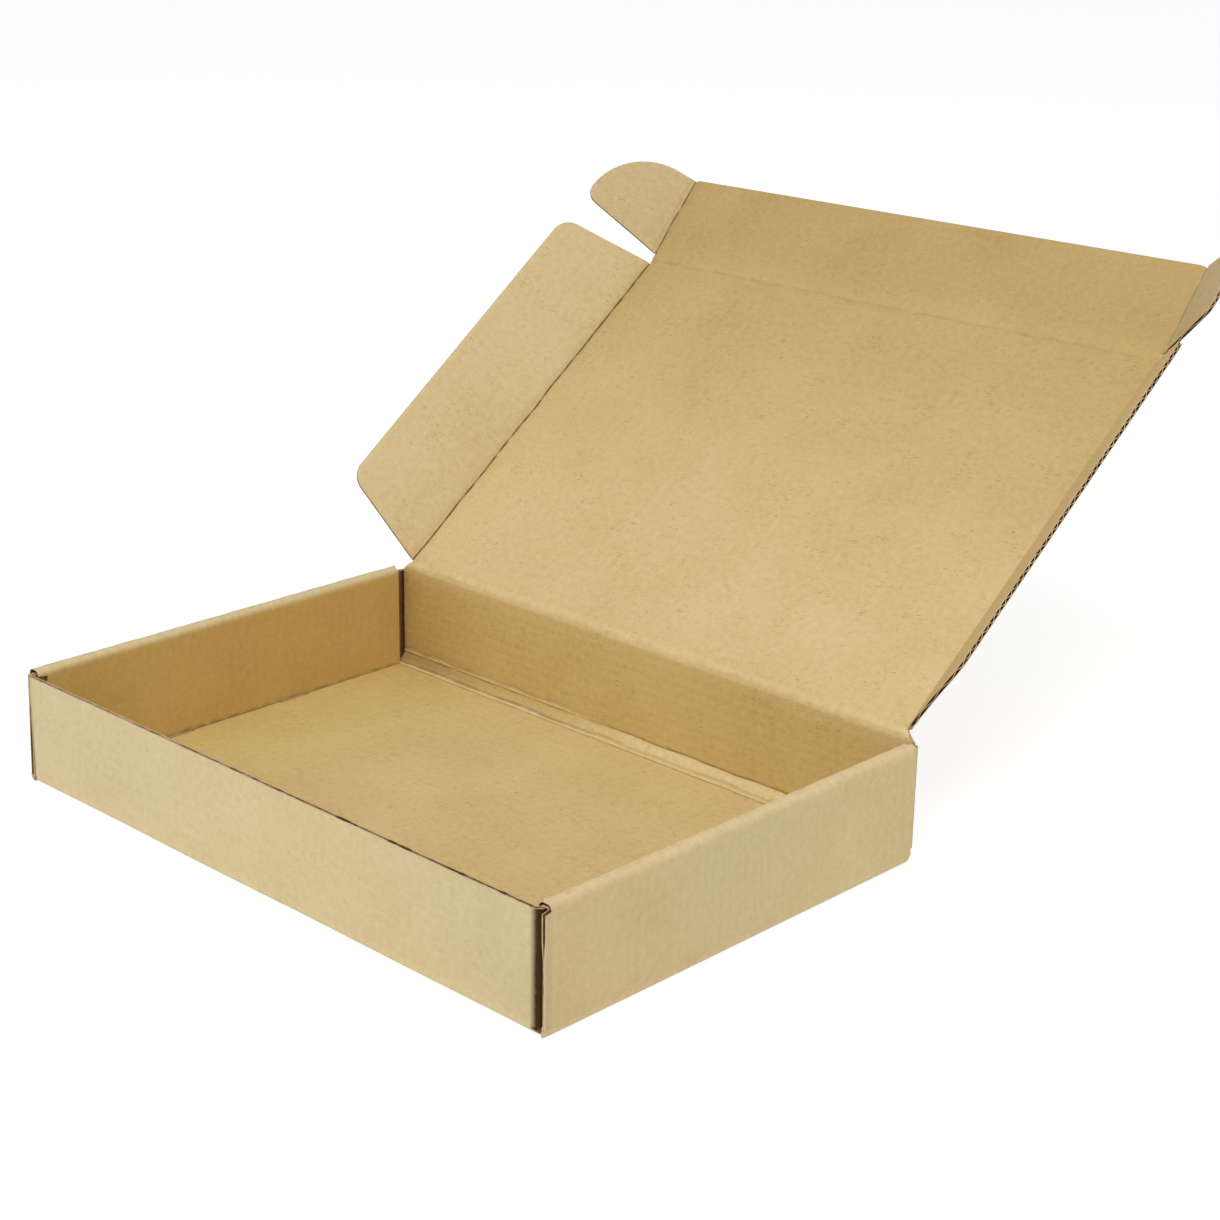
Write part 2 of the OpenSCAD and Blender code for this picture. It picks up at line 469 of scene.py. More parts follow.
@dataclass
class Sheet:
    """A closed sheet of board on a grid: two papers, a raw edge with its split, and the open flutes.

    The inner paper lies half a board plus `inside` along the normal from the middle, the outer paper half
    a board plus `outside` the other way. The raw edge runs once round the grid: its profile goes from the
    inner paper to the split, in to the split's depth, and back out to the outer paper.
    """

    middle: Array
    normal: Array
    plan: Array
    inside: Array | float = 0.0
    outside: Array | float = 0.0
    gap: Array | float = BOARD.shut_gap
    depth: Array | float = BOARD.shut_depth
    # Marks: paler wear with a painted highlight along folds, then painted shade on the inner paper and on
    # the outer paper.
    fold: Array | float = 0.0
    score: Array | float = 0.0
    score_outside: Array | float = 0.0
    holes: list[tuple[slice, slice]] = field(default_factory=list)
    fluted: slice | None = None

    def grid(self) -> Array:
        """Numbers of the inner paper's vertices."""
        rows, columns = self.middle.shape[:2]
        return np.arange(rows * columns).reshape(rows, columns)

    def rim_plan(self) -> Array:
        """Places in the blank along the raw edge."""
        return self.plan.reshape(-1, 2)[rim(self.grid())]

    def _turned(self) -> bool:
        """Whether rows, columns and normal make a left-handed set, so that faces need turning.

        Returns:
            True for a left-handed set.
        """
        along_rows = self.middle[1:, :-1] - self.middle[:-1, :-1]
        along_columns = self.middle[:-1, 1:] - self.middle[:-1, :-1]
        return float((np.cross(along_rows, along_columns) * self.normal[:-1, :-1]).sum()) < 0

    def _papers(self) -> list[Array]:
        """The two papers' vertices.

        Returns:
            Points of the inner paper, and points of the outer one.
        """
        shape = self.middle.shape[:2]
        high = BOARD.half + np.broadcast_to(self.inside, shape)
        low = BOARD.half + np.broadcast_to(self.outside, shape)
        inner = self.middle + self.normal * high[..., None]
        outer = self.middle - self.normal * low[..., None]
        return [inner.reshape(-1, 3), outer.reshape(-1, 3)]

    def _raw_edge(self, edge: Array, turned: bool) -> RawEdge:
        """The raw edge; the way inward is the cross product of the edge's direction and the normal.

        Args:
            edge: Vertex numbers once round the grid.
            turned: Whether the grid is left-handed.

        Returns:
            The edge's stations.
        """
        place = self.middle.reshape(-1, 3)[edge]
        up = self.normal.reshape(-1, 3)[edge]
        tangent = np.roll(place, -1, 0) - np.roll(place, 1, 0)
        inward = np.cross(tangent, up) * (-1 if turned else 1)
        inward /= np.linalg.norm(inward, axis=1, keepdims=True)
        gap = np.broadcast_to(self.gap, edge.shape)[:, None]
        depth = np.broadcast_to(self.depth, edge.shape)[:, None]
        return RawEdge(place, up, inward, gap, depth)

    def _hole_walls(self, grid: Array, kept: Array) -> list[Array]:
        """Takes the holes out of both papers and lines each with a wall of raw board.

        Args:
            grid: Numbers of the inner paper's vertices.
            kept: Which cells stay; those of the holes are cleared.

        Returns:
            The faces of each hole's wall.
        """
        walls = []
        for rows, columns in self.holes:
            kept[rows, columns] = False
            border = rim(grid[rows.start : rows.stop + 1, columns.start : columns.stop + 1])
            wall = np.stack([border, border + grid.size], 1)
            walls.append(quads(closed(wall)).reshape(-1, 4)[:, ::-1])
        return walls

    def _mark(self, inner: Array | float, outer: Array | float, bare: int) -> Array:
        """A mark on the two papers, and none on the vertices of the raw edge."""
        marked = [np.broadcast_to(values, self.middle.shape[:2]).ravel() for values in (inner, outer)]
        return np.concatenate([*marked, np.zeros(bare)])

    def shell(self) -> Shell:
        """Works out the vertices and faces.

        Returns:
            The sheet as one closed shell, with its medium where flutes are open.
        """
        grid, turned = self.grid(), self._turned()
        count, edge = grid.size, rim(grid)
        raw_edge = self._raw_edge(edge, turned)
        split = 2 * count + np.arange(4 * len(edge)).reshape(4, -1)
        profile = quads(closed(np.stack([edge, *split, edge + count], 1)))
        raw, slit = profile[:, [0, -1]].reshape(-1, 4), profile[:, 1:-1].reshape(-1, 4)
        cells = quads(grid)
        kept = np.ones(cells.shape[:2], bool)
        walls = self._hole_walls(grid, kept)
        faces = [cells[kept], (cells[kept] + count)[:, ::-1], raw, slit, *walls]
        papers = [Paper.INNER, Paper.OUTER, Paper.CUT, Paper.MEDIUM, *[Paper.CUT] * len(walls)]
        plan = self.plan.reshape(-1, 2)
        points, plans = [*self._papers(), *raw_edge.split()], [plan, plan, *[plan[edge]] * 4]
        if self.fluted is not None:
            start = 2 * count + 4 * len(edge)
            ribbon, front, body = raw_edge.medium(self.fluted, plan[edge][:, 1])
            points.append(ribbon)
            plans.append(np.repeat(plan[edge][self.fluted], 4, 0))
            faces += [front + start, body + start]
            papers += [Paper.CUT, Paper.MEDIUM]
        if turned:
            faces = [f[:, ::-1] for f in faces]
        bare = sum(len(p) for p in points) - 2 * count
        return Shell(
            np.concatenate(points),
            np.concatenate(faces),
            np.concatenate([np.full(len(f), int(p)) for f, p in zip(faces, papers)]),
            np.concatenate(plans),
            self._mark(self.fold, self.fold, bare),
            self._mark(self.score, self.score_outside, bare),
        )


@dataclass(frozen=True)
class Shell:
    """Vertices, faces, the paper of each face, and the marks of each vertex."""

    points: Array
    faces: Array
    papers: Array
    plan: Array
    fold: Array
    score: Array


def placed(name: str, data: bpy.types.ID, turn: Array | None = None) -> bpy.types.Object:
    """Puts an object into the scene.

    Args:
        name: The object's name.
        data: Its mesh, lamp or camera.
        turn: Its matrix, where it doesn't sit at the origin.

    Returns:
        The object.
    """
    made = bpy.data.objects.new(name, data)
    if turn is not None:
        made.matrix_world = Matrix(turn.tolist())
    bpy.context.scene.collection.objects.link(made)
    return made


def posed(axes: list[Array], place: Array) -> Array:
    """The matrix of three axes and a place.

    Args:
        axes: The axes, which become the matrix's columns.
        place: The place, which becomes its last column.

    Returns:
        The matrix, four by four.
    """
    turn = np.eye(4)
    turn[:3, :3] = np.stack(axes, 1)
    turn[:3, 3] = place
    return turn


@dataclass
class Piece:
    """A named mesh made of one or more sheets. Edges sharper than an angle, in degrees, stay sharp."""

    name: str
    sheets: list[Sheet]
    sharp: float = 40.0

    def build(self, finishes: list[bpy.types.Material], slot: Slot) -> bpy.types.Object:
        """Puts the sheets into one mesh.

        Args:
            finishes: The materials of the four papers, in the order of Paper.
            slot: The record's material slot; not used.

        Returns:
            The piece's object, at the origin.
        """
        shells = [sheet.shell() for sheet in self.sheets]
        starts = np.cumsum([0, *[len(s.points) for s in shells[:-1]]])
        faces = np.concatenate([s.faces + start for s, start in zip(shells, starts)])
        points = np.concatenate([s.points for s in shells]) * MM
        plan = np.concatenate([s.plan for s in shells])
        papers = np.concatenate([s.papers for s in shells])
        mesh = bpy.data.meshes.new(self.name)
        mesh.vertices.add(len(points))
        mesh.vertices.foreach_set("co", points.astype(np.float32).ravel())
        mesh.loops.add(faces.size)
        mesh.loops.foreach_set("vertex_index", faces.astype(np.int32).ravel())
        mesh.polygons.add(len(faces))
        mesh.polygons.foreach_set("loop_start", np.arange(0, faces.size, 4, dtype=np.int32))
        for finish in finishes:
            mesh.materials.append(finish)
        mesh.polygons.foreach_set("material_index", papers.astype(np.int32))
        mesh.update(calc_edges=True)
        layer = mesh.uv_layers.new(name=PLAN_MAP)
        layer.uv.foreach_set("vector", plan[faces.ravel()].astype(np.float32).ravel())
        marks = {WEAR_AND_HIGHLIGHT_MARK: [s.fold for s in shells], PAINTED_SHADE_MARK: [s.score for s in shells]}
        for mark, values in marks.items():
            attribute = mesh.attributes.new(mark, "FLOAT", "POINT")
            attribute.data.foreach_set("value", np.concatenate(values).astype(np.float32))
        mesh.shade_smooth()
        mesh.set_sharp_from_angle(angle=math.radians(self.sharp))
        made = placed(self.name, mesh)
        LOG.info("%s: %d triangles", self.name, 2 * len(faces))
        return made


class Shade:
    """A shader socket that takes part in Python arithmetic: each operator adds one Math node."""

    def __init__(self, graph: Graph, socket: bpy.types.NodeSocket) -> None:
        """Wraps a socket of a graph."""
        self.graph = graph
        self.socket = socket

    def also(self, output: str) -> Shade:
        """Another output of the same node."""
        return Shade(self.graph, self.socket.node.outputs[output])

    def _math(self, operation: str, first: Any, second: Any) -> Shade:
        """One Math node on two values."""
        return self.graph.node("ShaderNodeMath", {"operation": operation}, {0: first, 1: second})

    def __add__(self, other: Any) -> Shade:
        """Sum."""
        return self._math("ADD", self, other)

    __radd__ = __add__

    def __sub__(self, other: Any) -> Shade:
        """Difference."""
        return self._math("SUBTRACT", self, other)

    def __rsub__(self, other: Any) -> Shade:
        """Reflected difference."""
        return self._math("SUBTRACT", other, self)

    def __mul__(self, other: Any) -> Shade:
        """Product."""
        return self._math("MULTIPLY", self, other)

    __rmul__ = __mul__

    def __gt__(self, other: Any) -> Shade:
        """1 where this is the larger one, otherwise 0."""
        return self._math("GREATER_THAN", self, other)


class Graph:
    """The node tree of a material or of the world."""

    def __init__(self, owner: bpy.types.Material | bpy.types.World) -> None:
        """Empties the owner's tree.

        Args:
            owner: The material or the world.
        """
        owner.use_nodes = True
        self.owner = owner
        self.tree = owner.node_tree
        self.tree.nodes.clear()

    def node(self, kind: str, settings: dict[str, Any], inputs: dict[Any, Any], output: Any = 0) -> Shade:
        """Adds a node.

        Args:
            kind: The node's type.
            settings: Its own settings, set first; "stops" are a ramp's places and colours.
            inputs: Values or links of its sockets, by name or number.
            output: Name or number of the output that is wanted.

        Returns:
            That output.
        """
        made = self.tree.nodes.new(kind)
        for name, value in settings.items():
            if name == "stops":
                self._ramp(made.color_ramp, value)
            else:
                setattr(made, name, value)
        for name, value in inputs.items():
            if isinstance(value, Shade):
                self.tree.links.new(value.socket, made.inputs[name])
            else:
                made.inputs[name].default_value = value
        return Shade(self, made.outputs[output])

    @staticmethod
    def _ramp(ramp: bpy.types.ColorRamp, stops: list[tuple[float, Colour]]) -> None:
        """Sets a ramp's stops.

        Args:
            ramp: The ramp.
            stops: Places and colours, in order.
        """
        while len(ramp.elements) < len(stops):
            ramp.elements.new(1.0)
        for element, (place, colour) in zip(ramp.elements, stops):
            element.position = place
            element.color = (*colour, 1.0)

    def finish(self, shader: Shade) -> bpy.types.Material | bpy.types.World:
        """Links a shader to the output.

        Args:
            shader: The surface's shader.

        Returns:
            The owner of the tree.
        """
        world = isinstance(self.owner, bpy.types.World)
        out = self.tree.nodes.new("ShaderNodeOutputWorld" if world else "ShaderNodeOutputMaterial")
        self.tree.links.new(shader.socket, out.inputs["Surface"])
        return self.owner

    def mix(self, factor: Shade, first: Any, second: Colour, blend: Blend = Blend.COVER) -> Shade:
        """Lays the second colour over the first; sockets 6, 7 and output 2 are the node's colours."""
        settings = {"data_type": "RGBA", "blend_type": blend.value}
        return self.node("ShaderNodeMix", settings, {0: factor, 6: first, 7: (*second, 1.0)}, 2)

    def noise(
        self, vector: Shade, size: float, detail: float = 2.0, rough: float = 0.5, space: Space = Space.FLAT
    ) -> Shade:
        """Noise about zero.

        Args:
            vector: Coordinates, in the unit of the size.
            size: Size of its features.
            detail: Octaves.
            rough: Share of each finer octave.
            space: Dimensions of the coordinates.

        Returns:
            A value of about -0.5 to 0.5.
        """
        sockets = {"Vector": vector, "Scale": 1 / size, "Detail": detail, "Roughness": rough}
        return self.node("ShaderNodeTexNoise", {"noise_dimensions": space.value}, sockets, 0) - 0.5

    def mapped(self, vector: Shade, size: tuple[float, float], turn: float) -> Shade:
        """Coordinates turned in the plane, by degrees, and counted in cells of a size."""
        sockets = {"Vector": vector, "Rotation": (0, 0, math.radians(turn)), "Scale": (*size, 1)}
        return self.node("ShaderNodeMapping", {"vector_type": "TEXTURE"}, sockets)

    def smooth(self, value: Shade, low: float, high: float) -> Shade:
        """Smooth step of a value from 0 at low to 1 at high, which may be the smaller one."""
        sockets = {"Value": value, "From Min": low, "From Max": high}
        return self.node("ShaderNodeMapRange", {"interpolation_type": "SMOOTHSTEP"}, sockets)

    def paper(
        self, colour: Shade, roughness: Shade, gloss: float, height: Shade, relief: float
    ) -> bpy.types.Material:
        """Finishes a matt paper.

        Args:
            colour: Its colour.
            roughness: Its roughness.
            gloss: Its specular level.
            height: Height of its relief, as a share.
            relief: Height of a full share, in metres.

        Returns:
            The material.
        """
        normal = self.node("ShaderNodeBump", {}, {"Strength": 1.0, "Distance": relief, "Height": height})
        sockets = {
            "Base Color": colour,
            "Roughness": roughness,
            "Specular IOR Level": gloss,
            "Normal": normal,
        }
        return self.finish(self.node("ShaderNodeBsdfPrincipled", {}, sockets))

    def seen(self) -> Shade:
        """1 for rays from the camera and for those that a glossy or clear surface sends on, otherwise 0."""
        path = self.node("ShaderNodeLightPath", {}, {}, "Is Camera Ray")
        return path + path.also("Is Glossy Ray") + path.also("Is Transmission Ray")

    def mark(self, name: str) -> Shade:
        """A mark of the mesh's vertices."""
        return self.node("ShaderNodeAttribute", {"attribute_name": name}, {}, "Fac")


@dataclass(frozen=True)
class Flecks:
    """Loose fibres in the paper: the middles of some long cells of a cell pattern.

    A fibre is full near its cell's middle and fades out between two distances, in cells.
    """

    length: float
    width: float
    share: float
    turn: float
    full: float = 0.12
    gone: float = 0.42

    def mask(self, graph: Graph, plan: Shade) -> Shade:
        """1 on a fibre and 0 beside it.

        Args:
            graph: The material's graph.
            plan: Coordinates in the blank.

        Returns:
            The mask.
        """
        cells = graph.mapped(plan, (self.length, self.width), self.turn)
        pattern = {"Vector": cells, "Scale": 1.0, "Randomness": 1.0}
        settings = {"voronoi_dimensions": "2D", "feature": "F1"}
        near = graph.node("ShaderNodeTexVoronoi", settings, pattern, "Distance")
        first = graph.node("ShaderNodeSeparateColor", {}, {0: near.also("Color")}, 0)
        return (1 - graph.smooth(near, self.full, self.gone)) * (first > 1 - self.share)


@dataclass(frozen=True)
class Drift:
    """Painted light and shade over the blank: a tint that grows over a span, and fades over a later one.

    Spans are in millimetres. Across the blank the distance from its middle counts, or the place itself
    where the tint is not mirrored.
    """

    tint: Colour
    along: tuple[float, float] = FROM_START
    until: tuple[float, float] = TO_END
    across: tuple[float, float] = FROM_START
    mirrored: bool = True

    def over(self, graph: Graph, plan: Shade, colour: Shade) -> Shade:
        """Tints a colour with painted light and shade.

        Args:
            graph: The material's graph.
            plan: Coordinates in the blank.
            colour: The colour before.

        Returns:
            The colour times the tint, as far as the tint has grown.
        """
        place = graph.node("ShaderNodeSeparateXYZ", {}, {0: plan}, 0)
        length = place.also("Y")
        if self.mirrored:
            place = graph.node("ShaderNodeMath", {"operation": "ABSOLUTE"}, {0: place})
        grown = graph.smooth(length, *self.along) * graph.smooth(length, *self.until)
        grown = grown * graph.smooth(place, *self.across)
        return graph.mix(grown, colour, self.tint, Blend.TINT)


@dataclass(frozen=True)
class Kraft:
    """Unbleached kraft paper: cloudy tone, fibres, paler wear, and painted light and shade. Sizes are in
    millimetres.
    """

    name: str
    tone: Colour
    shadow: Colour
    light: Colour
    fibre: Colour
    straw: Colour
    # Paler colour of wear along folds, which also serves as the painted highlight on ledges, ridges and
    # rolls.
    worn: Colour
    # Near-black colour of painted shade in creases, gaps and corners.
    crack: Colour
    roughness: float = 0.8
    gloss: float = 0.16
    relief: float = 0.04
    cloud_size: float = 34.0
    loose_size: float = 11.0
    mottle_size: float = 2.6
    streak_size: tuple[float, float] = (2.6, 1.0)
    grain_size: float = 0.55
    dark_flecks: tuple[Flecks, ...] = (
        Flecks(3.8, 0.55, 0.1, 4.0),
        Flecks(1.9, 0.5, 0.06, 38.0),
        Flecks(2.1, 0.6, 0.06, -29.0),
    )
    pale_flecks: tuple[Flecks, ...] = (Flecks(2.6, 0.5, 0.03, -11.0), Flecks(1.9, 0.45, 0.02, 52.0))
    dark_strength: float = 0.42
    pale_strength: float = 0.22
    streak_share: float = 0.2
    drifts: tuple[Drift, ...] = ()

    def material(self) -> bpy.types.Material:
        """Makes the material.

        The tone goes along a ramp by the sum of a wide cloud, a mottle, streaks and a fine grain. Painted
        light and shade over whole faces, flecks, paler wear with a painted highlight along folds, and
        painted shade in creases and gaps lie over it. The relief is a sum of the same noises and of a sine
        of the flutes' pitch.

        Returns:
            The finished material.
        """
        g = Graph(bpy.data.materials.new(self.name))
        plan = g.node("ShaderNodeUVMap", {"uv_map": PLAN_MAP}, {}, "UV")
        cloud = g.noise(plan, self.cloud_size)
        mottle = g.noise(plan, self.mottle_size, 3.0, 0.62)
        streak = g.noise(g.mapped(plan, self.streak_size, 2.0), 1.0, 2.0, 0.6)
        grain = g.noise(plan, self.grain_size, 1.0)
        body = 0.5 + cloud * 0.4 + mottle * 0.55 + streak * self.streak_share + grain * 0.25
        stops = [(0.08, self.shadow), (0.5, self.tone), (0.92, self.light)]
        colour = g.node("ShaderNodeValToRGB", {"stops": stops}, {0: body})
        # Painted light and shade: slow tints over whole faces, standing in for how light falls on them.
        for painted_light in self.drifts:
            colour = painted_light.over(g, plan, colour)
        loose = g.smooth(g.noise(plan, self.loose_size), -0.06, 0.2)
        dark = self._all(g, plan, self.dark_flecks) * (0.25 + 0.75 * loose)
        colour = g.mix(dark * self.dark_strength, colour, self.fibre)
        colour = g.mix(self._all(g, plan, self.pale_flecks) * self.pale_strength, colour, self.straw)
        # Paler wear along folds, which also paints the highlight on ledges, ridges and rolls.
        colour = g.mix(g.mark(WEAR_AND_HIGHLIGHT_MARK) * (0.5 + mottle), colour, self.worn)
        # Painted shade: creases, gaps and corners darkened towards near-black by the vertex mark.
        colour = g.mix(g.mark(PAINTED_SHADE_MARK) * (1.12 + mottle * 0.35), colour, self.crack)
        angle = g.node("ShaderNodeSeparateXYZ", {}, {0: plan}, "Y") * (2 * math.pi / BOARD.pitch)
        washboard = g.node("ShaderNodeMath", {"operation": "SINE"}, {0: angle})
        height = mottle * 0.5 + grain * 0.4 + streak * 0.2 + washboard * 0.4
        return g.paper(colour, self.roughness + mottle * 0.16, self.gloss, height, self.relief * MM)

    @staticmethod
    def _all(g: Graph, plan: Shade, kinds: tuple[Flecks, ...]) -> Shade:
        """The sum of several kinds of flecks."""
        masks = [kind.mask(g, plan) for kind in kinds]
        return sum(masks[1:], masks[0])


@dataclass(frozen=True)
class CutPaper:
    """Raw cut edges and the fluted paper between the liners: rough and fuzzy. Sizes are in millimetres."""

    name: str
    tone: Colour
    shadow: Colour
    roughness: float = 0.92
    gloss: float = 0.1
    relief: float = 0.1
    fuzz_size: float = 0.5
    patch_size: float = 6.0

    def material(self) -> bpy.types.Material:
        """Makes the material: its tone goes by the sum of a fine fuzz and of wider patches.

        Returns:
            The finished material.
        """
        g = Graph(bpy.data.materials.new(self.name))
        place = g.node("ShaderNodeTexCoord", {}, {}, "Object")
        fuzz = g.noise(place, MM * self.fuzz_size, 2.0, 0.7, Space.SOLID)
        patch = g.noise(place, MM * self.patch_size, 2.0)
        body = g.smooth(fuzz + patch, -0.4, 0.4)
        colour = g.mix(body, (*self.shadow, 1.0), self.tone)
        return g.paper(colour, self.roughness + fuzz * 0.1, self.gloss, fuzz, self.relief * MM)


@dataclass(frozen=True)
class BoxPlan:
    """Sizes of the box in millimetres: those that the frame holds, and the folds' own."""

    half_w: float
    half_d: float
    height: float
    hinge: Array
    tuck: Array
    lid_heading: float
    tuck_heading: float
    flap_crease: float
    ear_crease: float
    fold_r: float = 0.4
    layer_gap: float = 0.25
    crease_gap: float = 0.3
    ear_room: float = 0.4
    back_crease: float = 5.0
    ledge_setback: float = 0.6
    panel_setback: float = 4.0
    side_setback: float = 4.4
    corner_cut: float = 2.6
    ear_lean: float = 14.0
    ear_lean_run: float = 3.2
    front_round: float = 2.6
    wall_ear: float = 60.0
    tab_w: float = 12.0
    tab_place: float = 25.0
    slot_room: float = 0.4
    hinge_roll: float = 2.2
    crease_half: float = 1.1
    crease_press: float = 0.42
    press_fade: float = 1.5
    # Span of the painted shade in the front corners, in lengths past the start of their turn.
    corner_dark: tuple[float, float] = (-0.25, 1.95)
    flap_len: float = 37.0
    flap_slant: float = 15.0
    flap_corner: float = 8.0
    flap_end: float = 1.4
    tuck_len: float = 37.5
    ear_reach: float = 34.5
    ear_round: float = 26.5
    ear_corner: float = 5.0
    ear_start: float = 3.3
    ear_slant: float = 11.0
    lid_sag: float = 0.5

    @classmethod
    def from_frame(cls, frame: dict[str, Any]) -> BoxPlan:
        """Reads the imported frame.


        Returns:
            The plan.
        """
        joints = {joint["name"]: joint for joint in frame["joints"]}
        places = {name: np.array(joint["pos_m"], float) / MM for name, joint in joints.items()}
        high = np.array(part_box("tray")[1]) / MM
        lid = places["tuck_fold"] - places["lid_hinge"]
        tuck = joints["left_lock_ear_fold"]["axis"]
        return cls(
            half_w=float(high[0]),
            half_d=float(high[1]),
            height=float(high[2]),
            hinge=places["lid_hinge"],
            tuck=places["tuck_fold"],
            lid_heading=math.degrees(math.atan2(lid[2], lid[1])),
            tuck_heading=math.degrees(math.atan2(tuck[2], tuck[1])),
            flap_crease=float(places["right_dust_flap_fold"][0]),
            ear_crease=float(places["right_lock_ear_fold"][0]),
        )

    @property
    def bend(self) -> float:
        """Outside radius of a right-angled fold."""
        return self.fold_r + BOARD.thickness

    @property
    def bend_middle(self) -> float:
        """Radius of the board's middle in a right-angled fold."""
        return self.fold_r + BOARD.half

    @property
    def ear_face(self) -> float:
        """Distance of the wall ears' outer face from the middle."""
        return self.half_w - BOARD.thickness - self.layer_gap

    @property
    def panel_face(self) -> float:
        """Distance of the inner side panels' face from the middle."""
        return self.ear_face - 2 * BOARD.thickness - self.layer_gap

    @property
    def flat_wall(self) -> float:
        """Half of the flat width of the front and back walls."""
        return self.ear_face - self.bend

    def front_wall(self, side: Side) -> float:
        """Flat reach of the front wall: its right ear turns in with a wider round and leans out there.

        Args:
            side: The side.

        Returns:
            Distance from the middle to the start of the turn.
        """
        if side is Side.LEFT:
            return self.flat_wall
        lean = self.ear_lean_run * math.sin(math.radians(self.ear_lean))
        return self.flat_wall - lean - self.front_round + self.bend_middle

    @property
    def wall_top(self) -> float:
        """Height of the front wall's raw edge."""
        return self.height - BOARD.thickness - self.ear_room

    @property
    def panel_foot(self) -> float:
        """Height of the inner side panels' lower edge."""
        return BOARD.thickness + self.crease_gap

    @property
    def lid_len(self) -> float:
        """Distance from the hinge to the tuck crease."""
        return float(np.linalg.norm(self.tuck - self.hinge))

    @property
    def slot_x(self) -> tuple[float, float]:
        """Inner and outer edge of the lock tabs' slots."""
        return self.panel_face - 2 * self.slot_room, self.panel_face + BOARD.thickness + self.slot_room

    @property
    def slot_y(self) -> list[tuple[float, float]]:
        """Front and back edge of each slot."""
        half = self.tab_w / 2 + self.slot_room
        return [(place - half, place + half) for place in (-self.tab_place, self.tab_place)]

    def pressed(self, beside: Array) -> Array:
        """Rise of the inner paper, below zero, at a distance beside a pressed side crease."""
        return -self.crease_press * (1 - ease(beside, 0.0, self.press_fade))

    def corner_shade(self, past: Array) -> Array:
        """Painted shade in the front corners' gap, by the length walked past the start of their turn."""
        return ease(past, *self.corner_dark)

    def directions(self, heading: float) -> tuple[Array, Array]:
        """Direction along a panel that rises from the hinge side, and its normal on the inner paper."""
        a = math.radians(heading)
        return np.array([0, math.cos(a), math.sin(a)]), np.array([0, -math.sin(a), math.cos(a)])


def laid(
    place: Place, section: Section, rows: Array, plan: Array, bow: Array | float = 0.0, **marks: Any
) -> Sheet:
    """A sheet carried along rows, its middle raised along the normal by a bow.

    Args:
        place: Axes of the section.
        section: The section.
        rows: Places along the rows.
        plan: Places in the blank.
        bow: Rise of the middle.
        marks: Further fields of the sheet.

    Returns:
        The sheet.
    """
    middle, normal = place.sheet(section, rows)
    lift = np.broadcast_to(bow, rows.shape)[..., None]
    return Sheet(middle + normal * lift, normal, plan, **marks)


def spread(first: Array, second: Array) -> Array:
    """Two grids of coordinates as places in the blank."""
    return np.stack(np.broadcast_arrays(first, second), -1)


def slack(plan: Array, most: float = 0.07) -> Array:
    """Unevenness of the board's middle: long waves over the blank, never below zero."""
    return most * np.clip(1 + waves(plan[..., 0], plan[..., 1], Seed.SLACK, 75.0), 0, 2)


def torn(along: Array, seed: int, least: float, most: float) -> Array:
    """Half-width of a split raw edge: short and long waves, mostly narrow, here and there wide."""
    share = 0.5 + 0.35 * wander(along, seed, 17.0) + 0.3 * wander(along, seed + 1, 4.0)
    return least + (most - least) * np.clip(share, 0, 1) ** 2


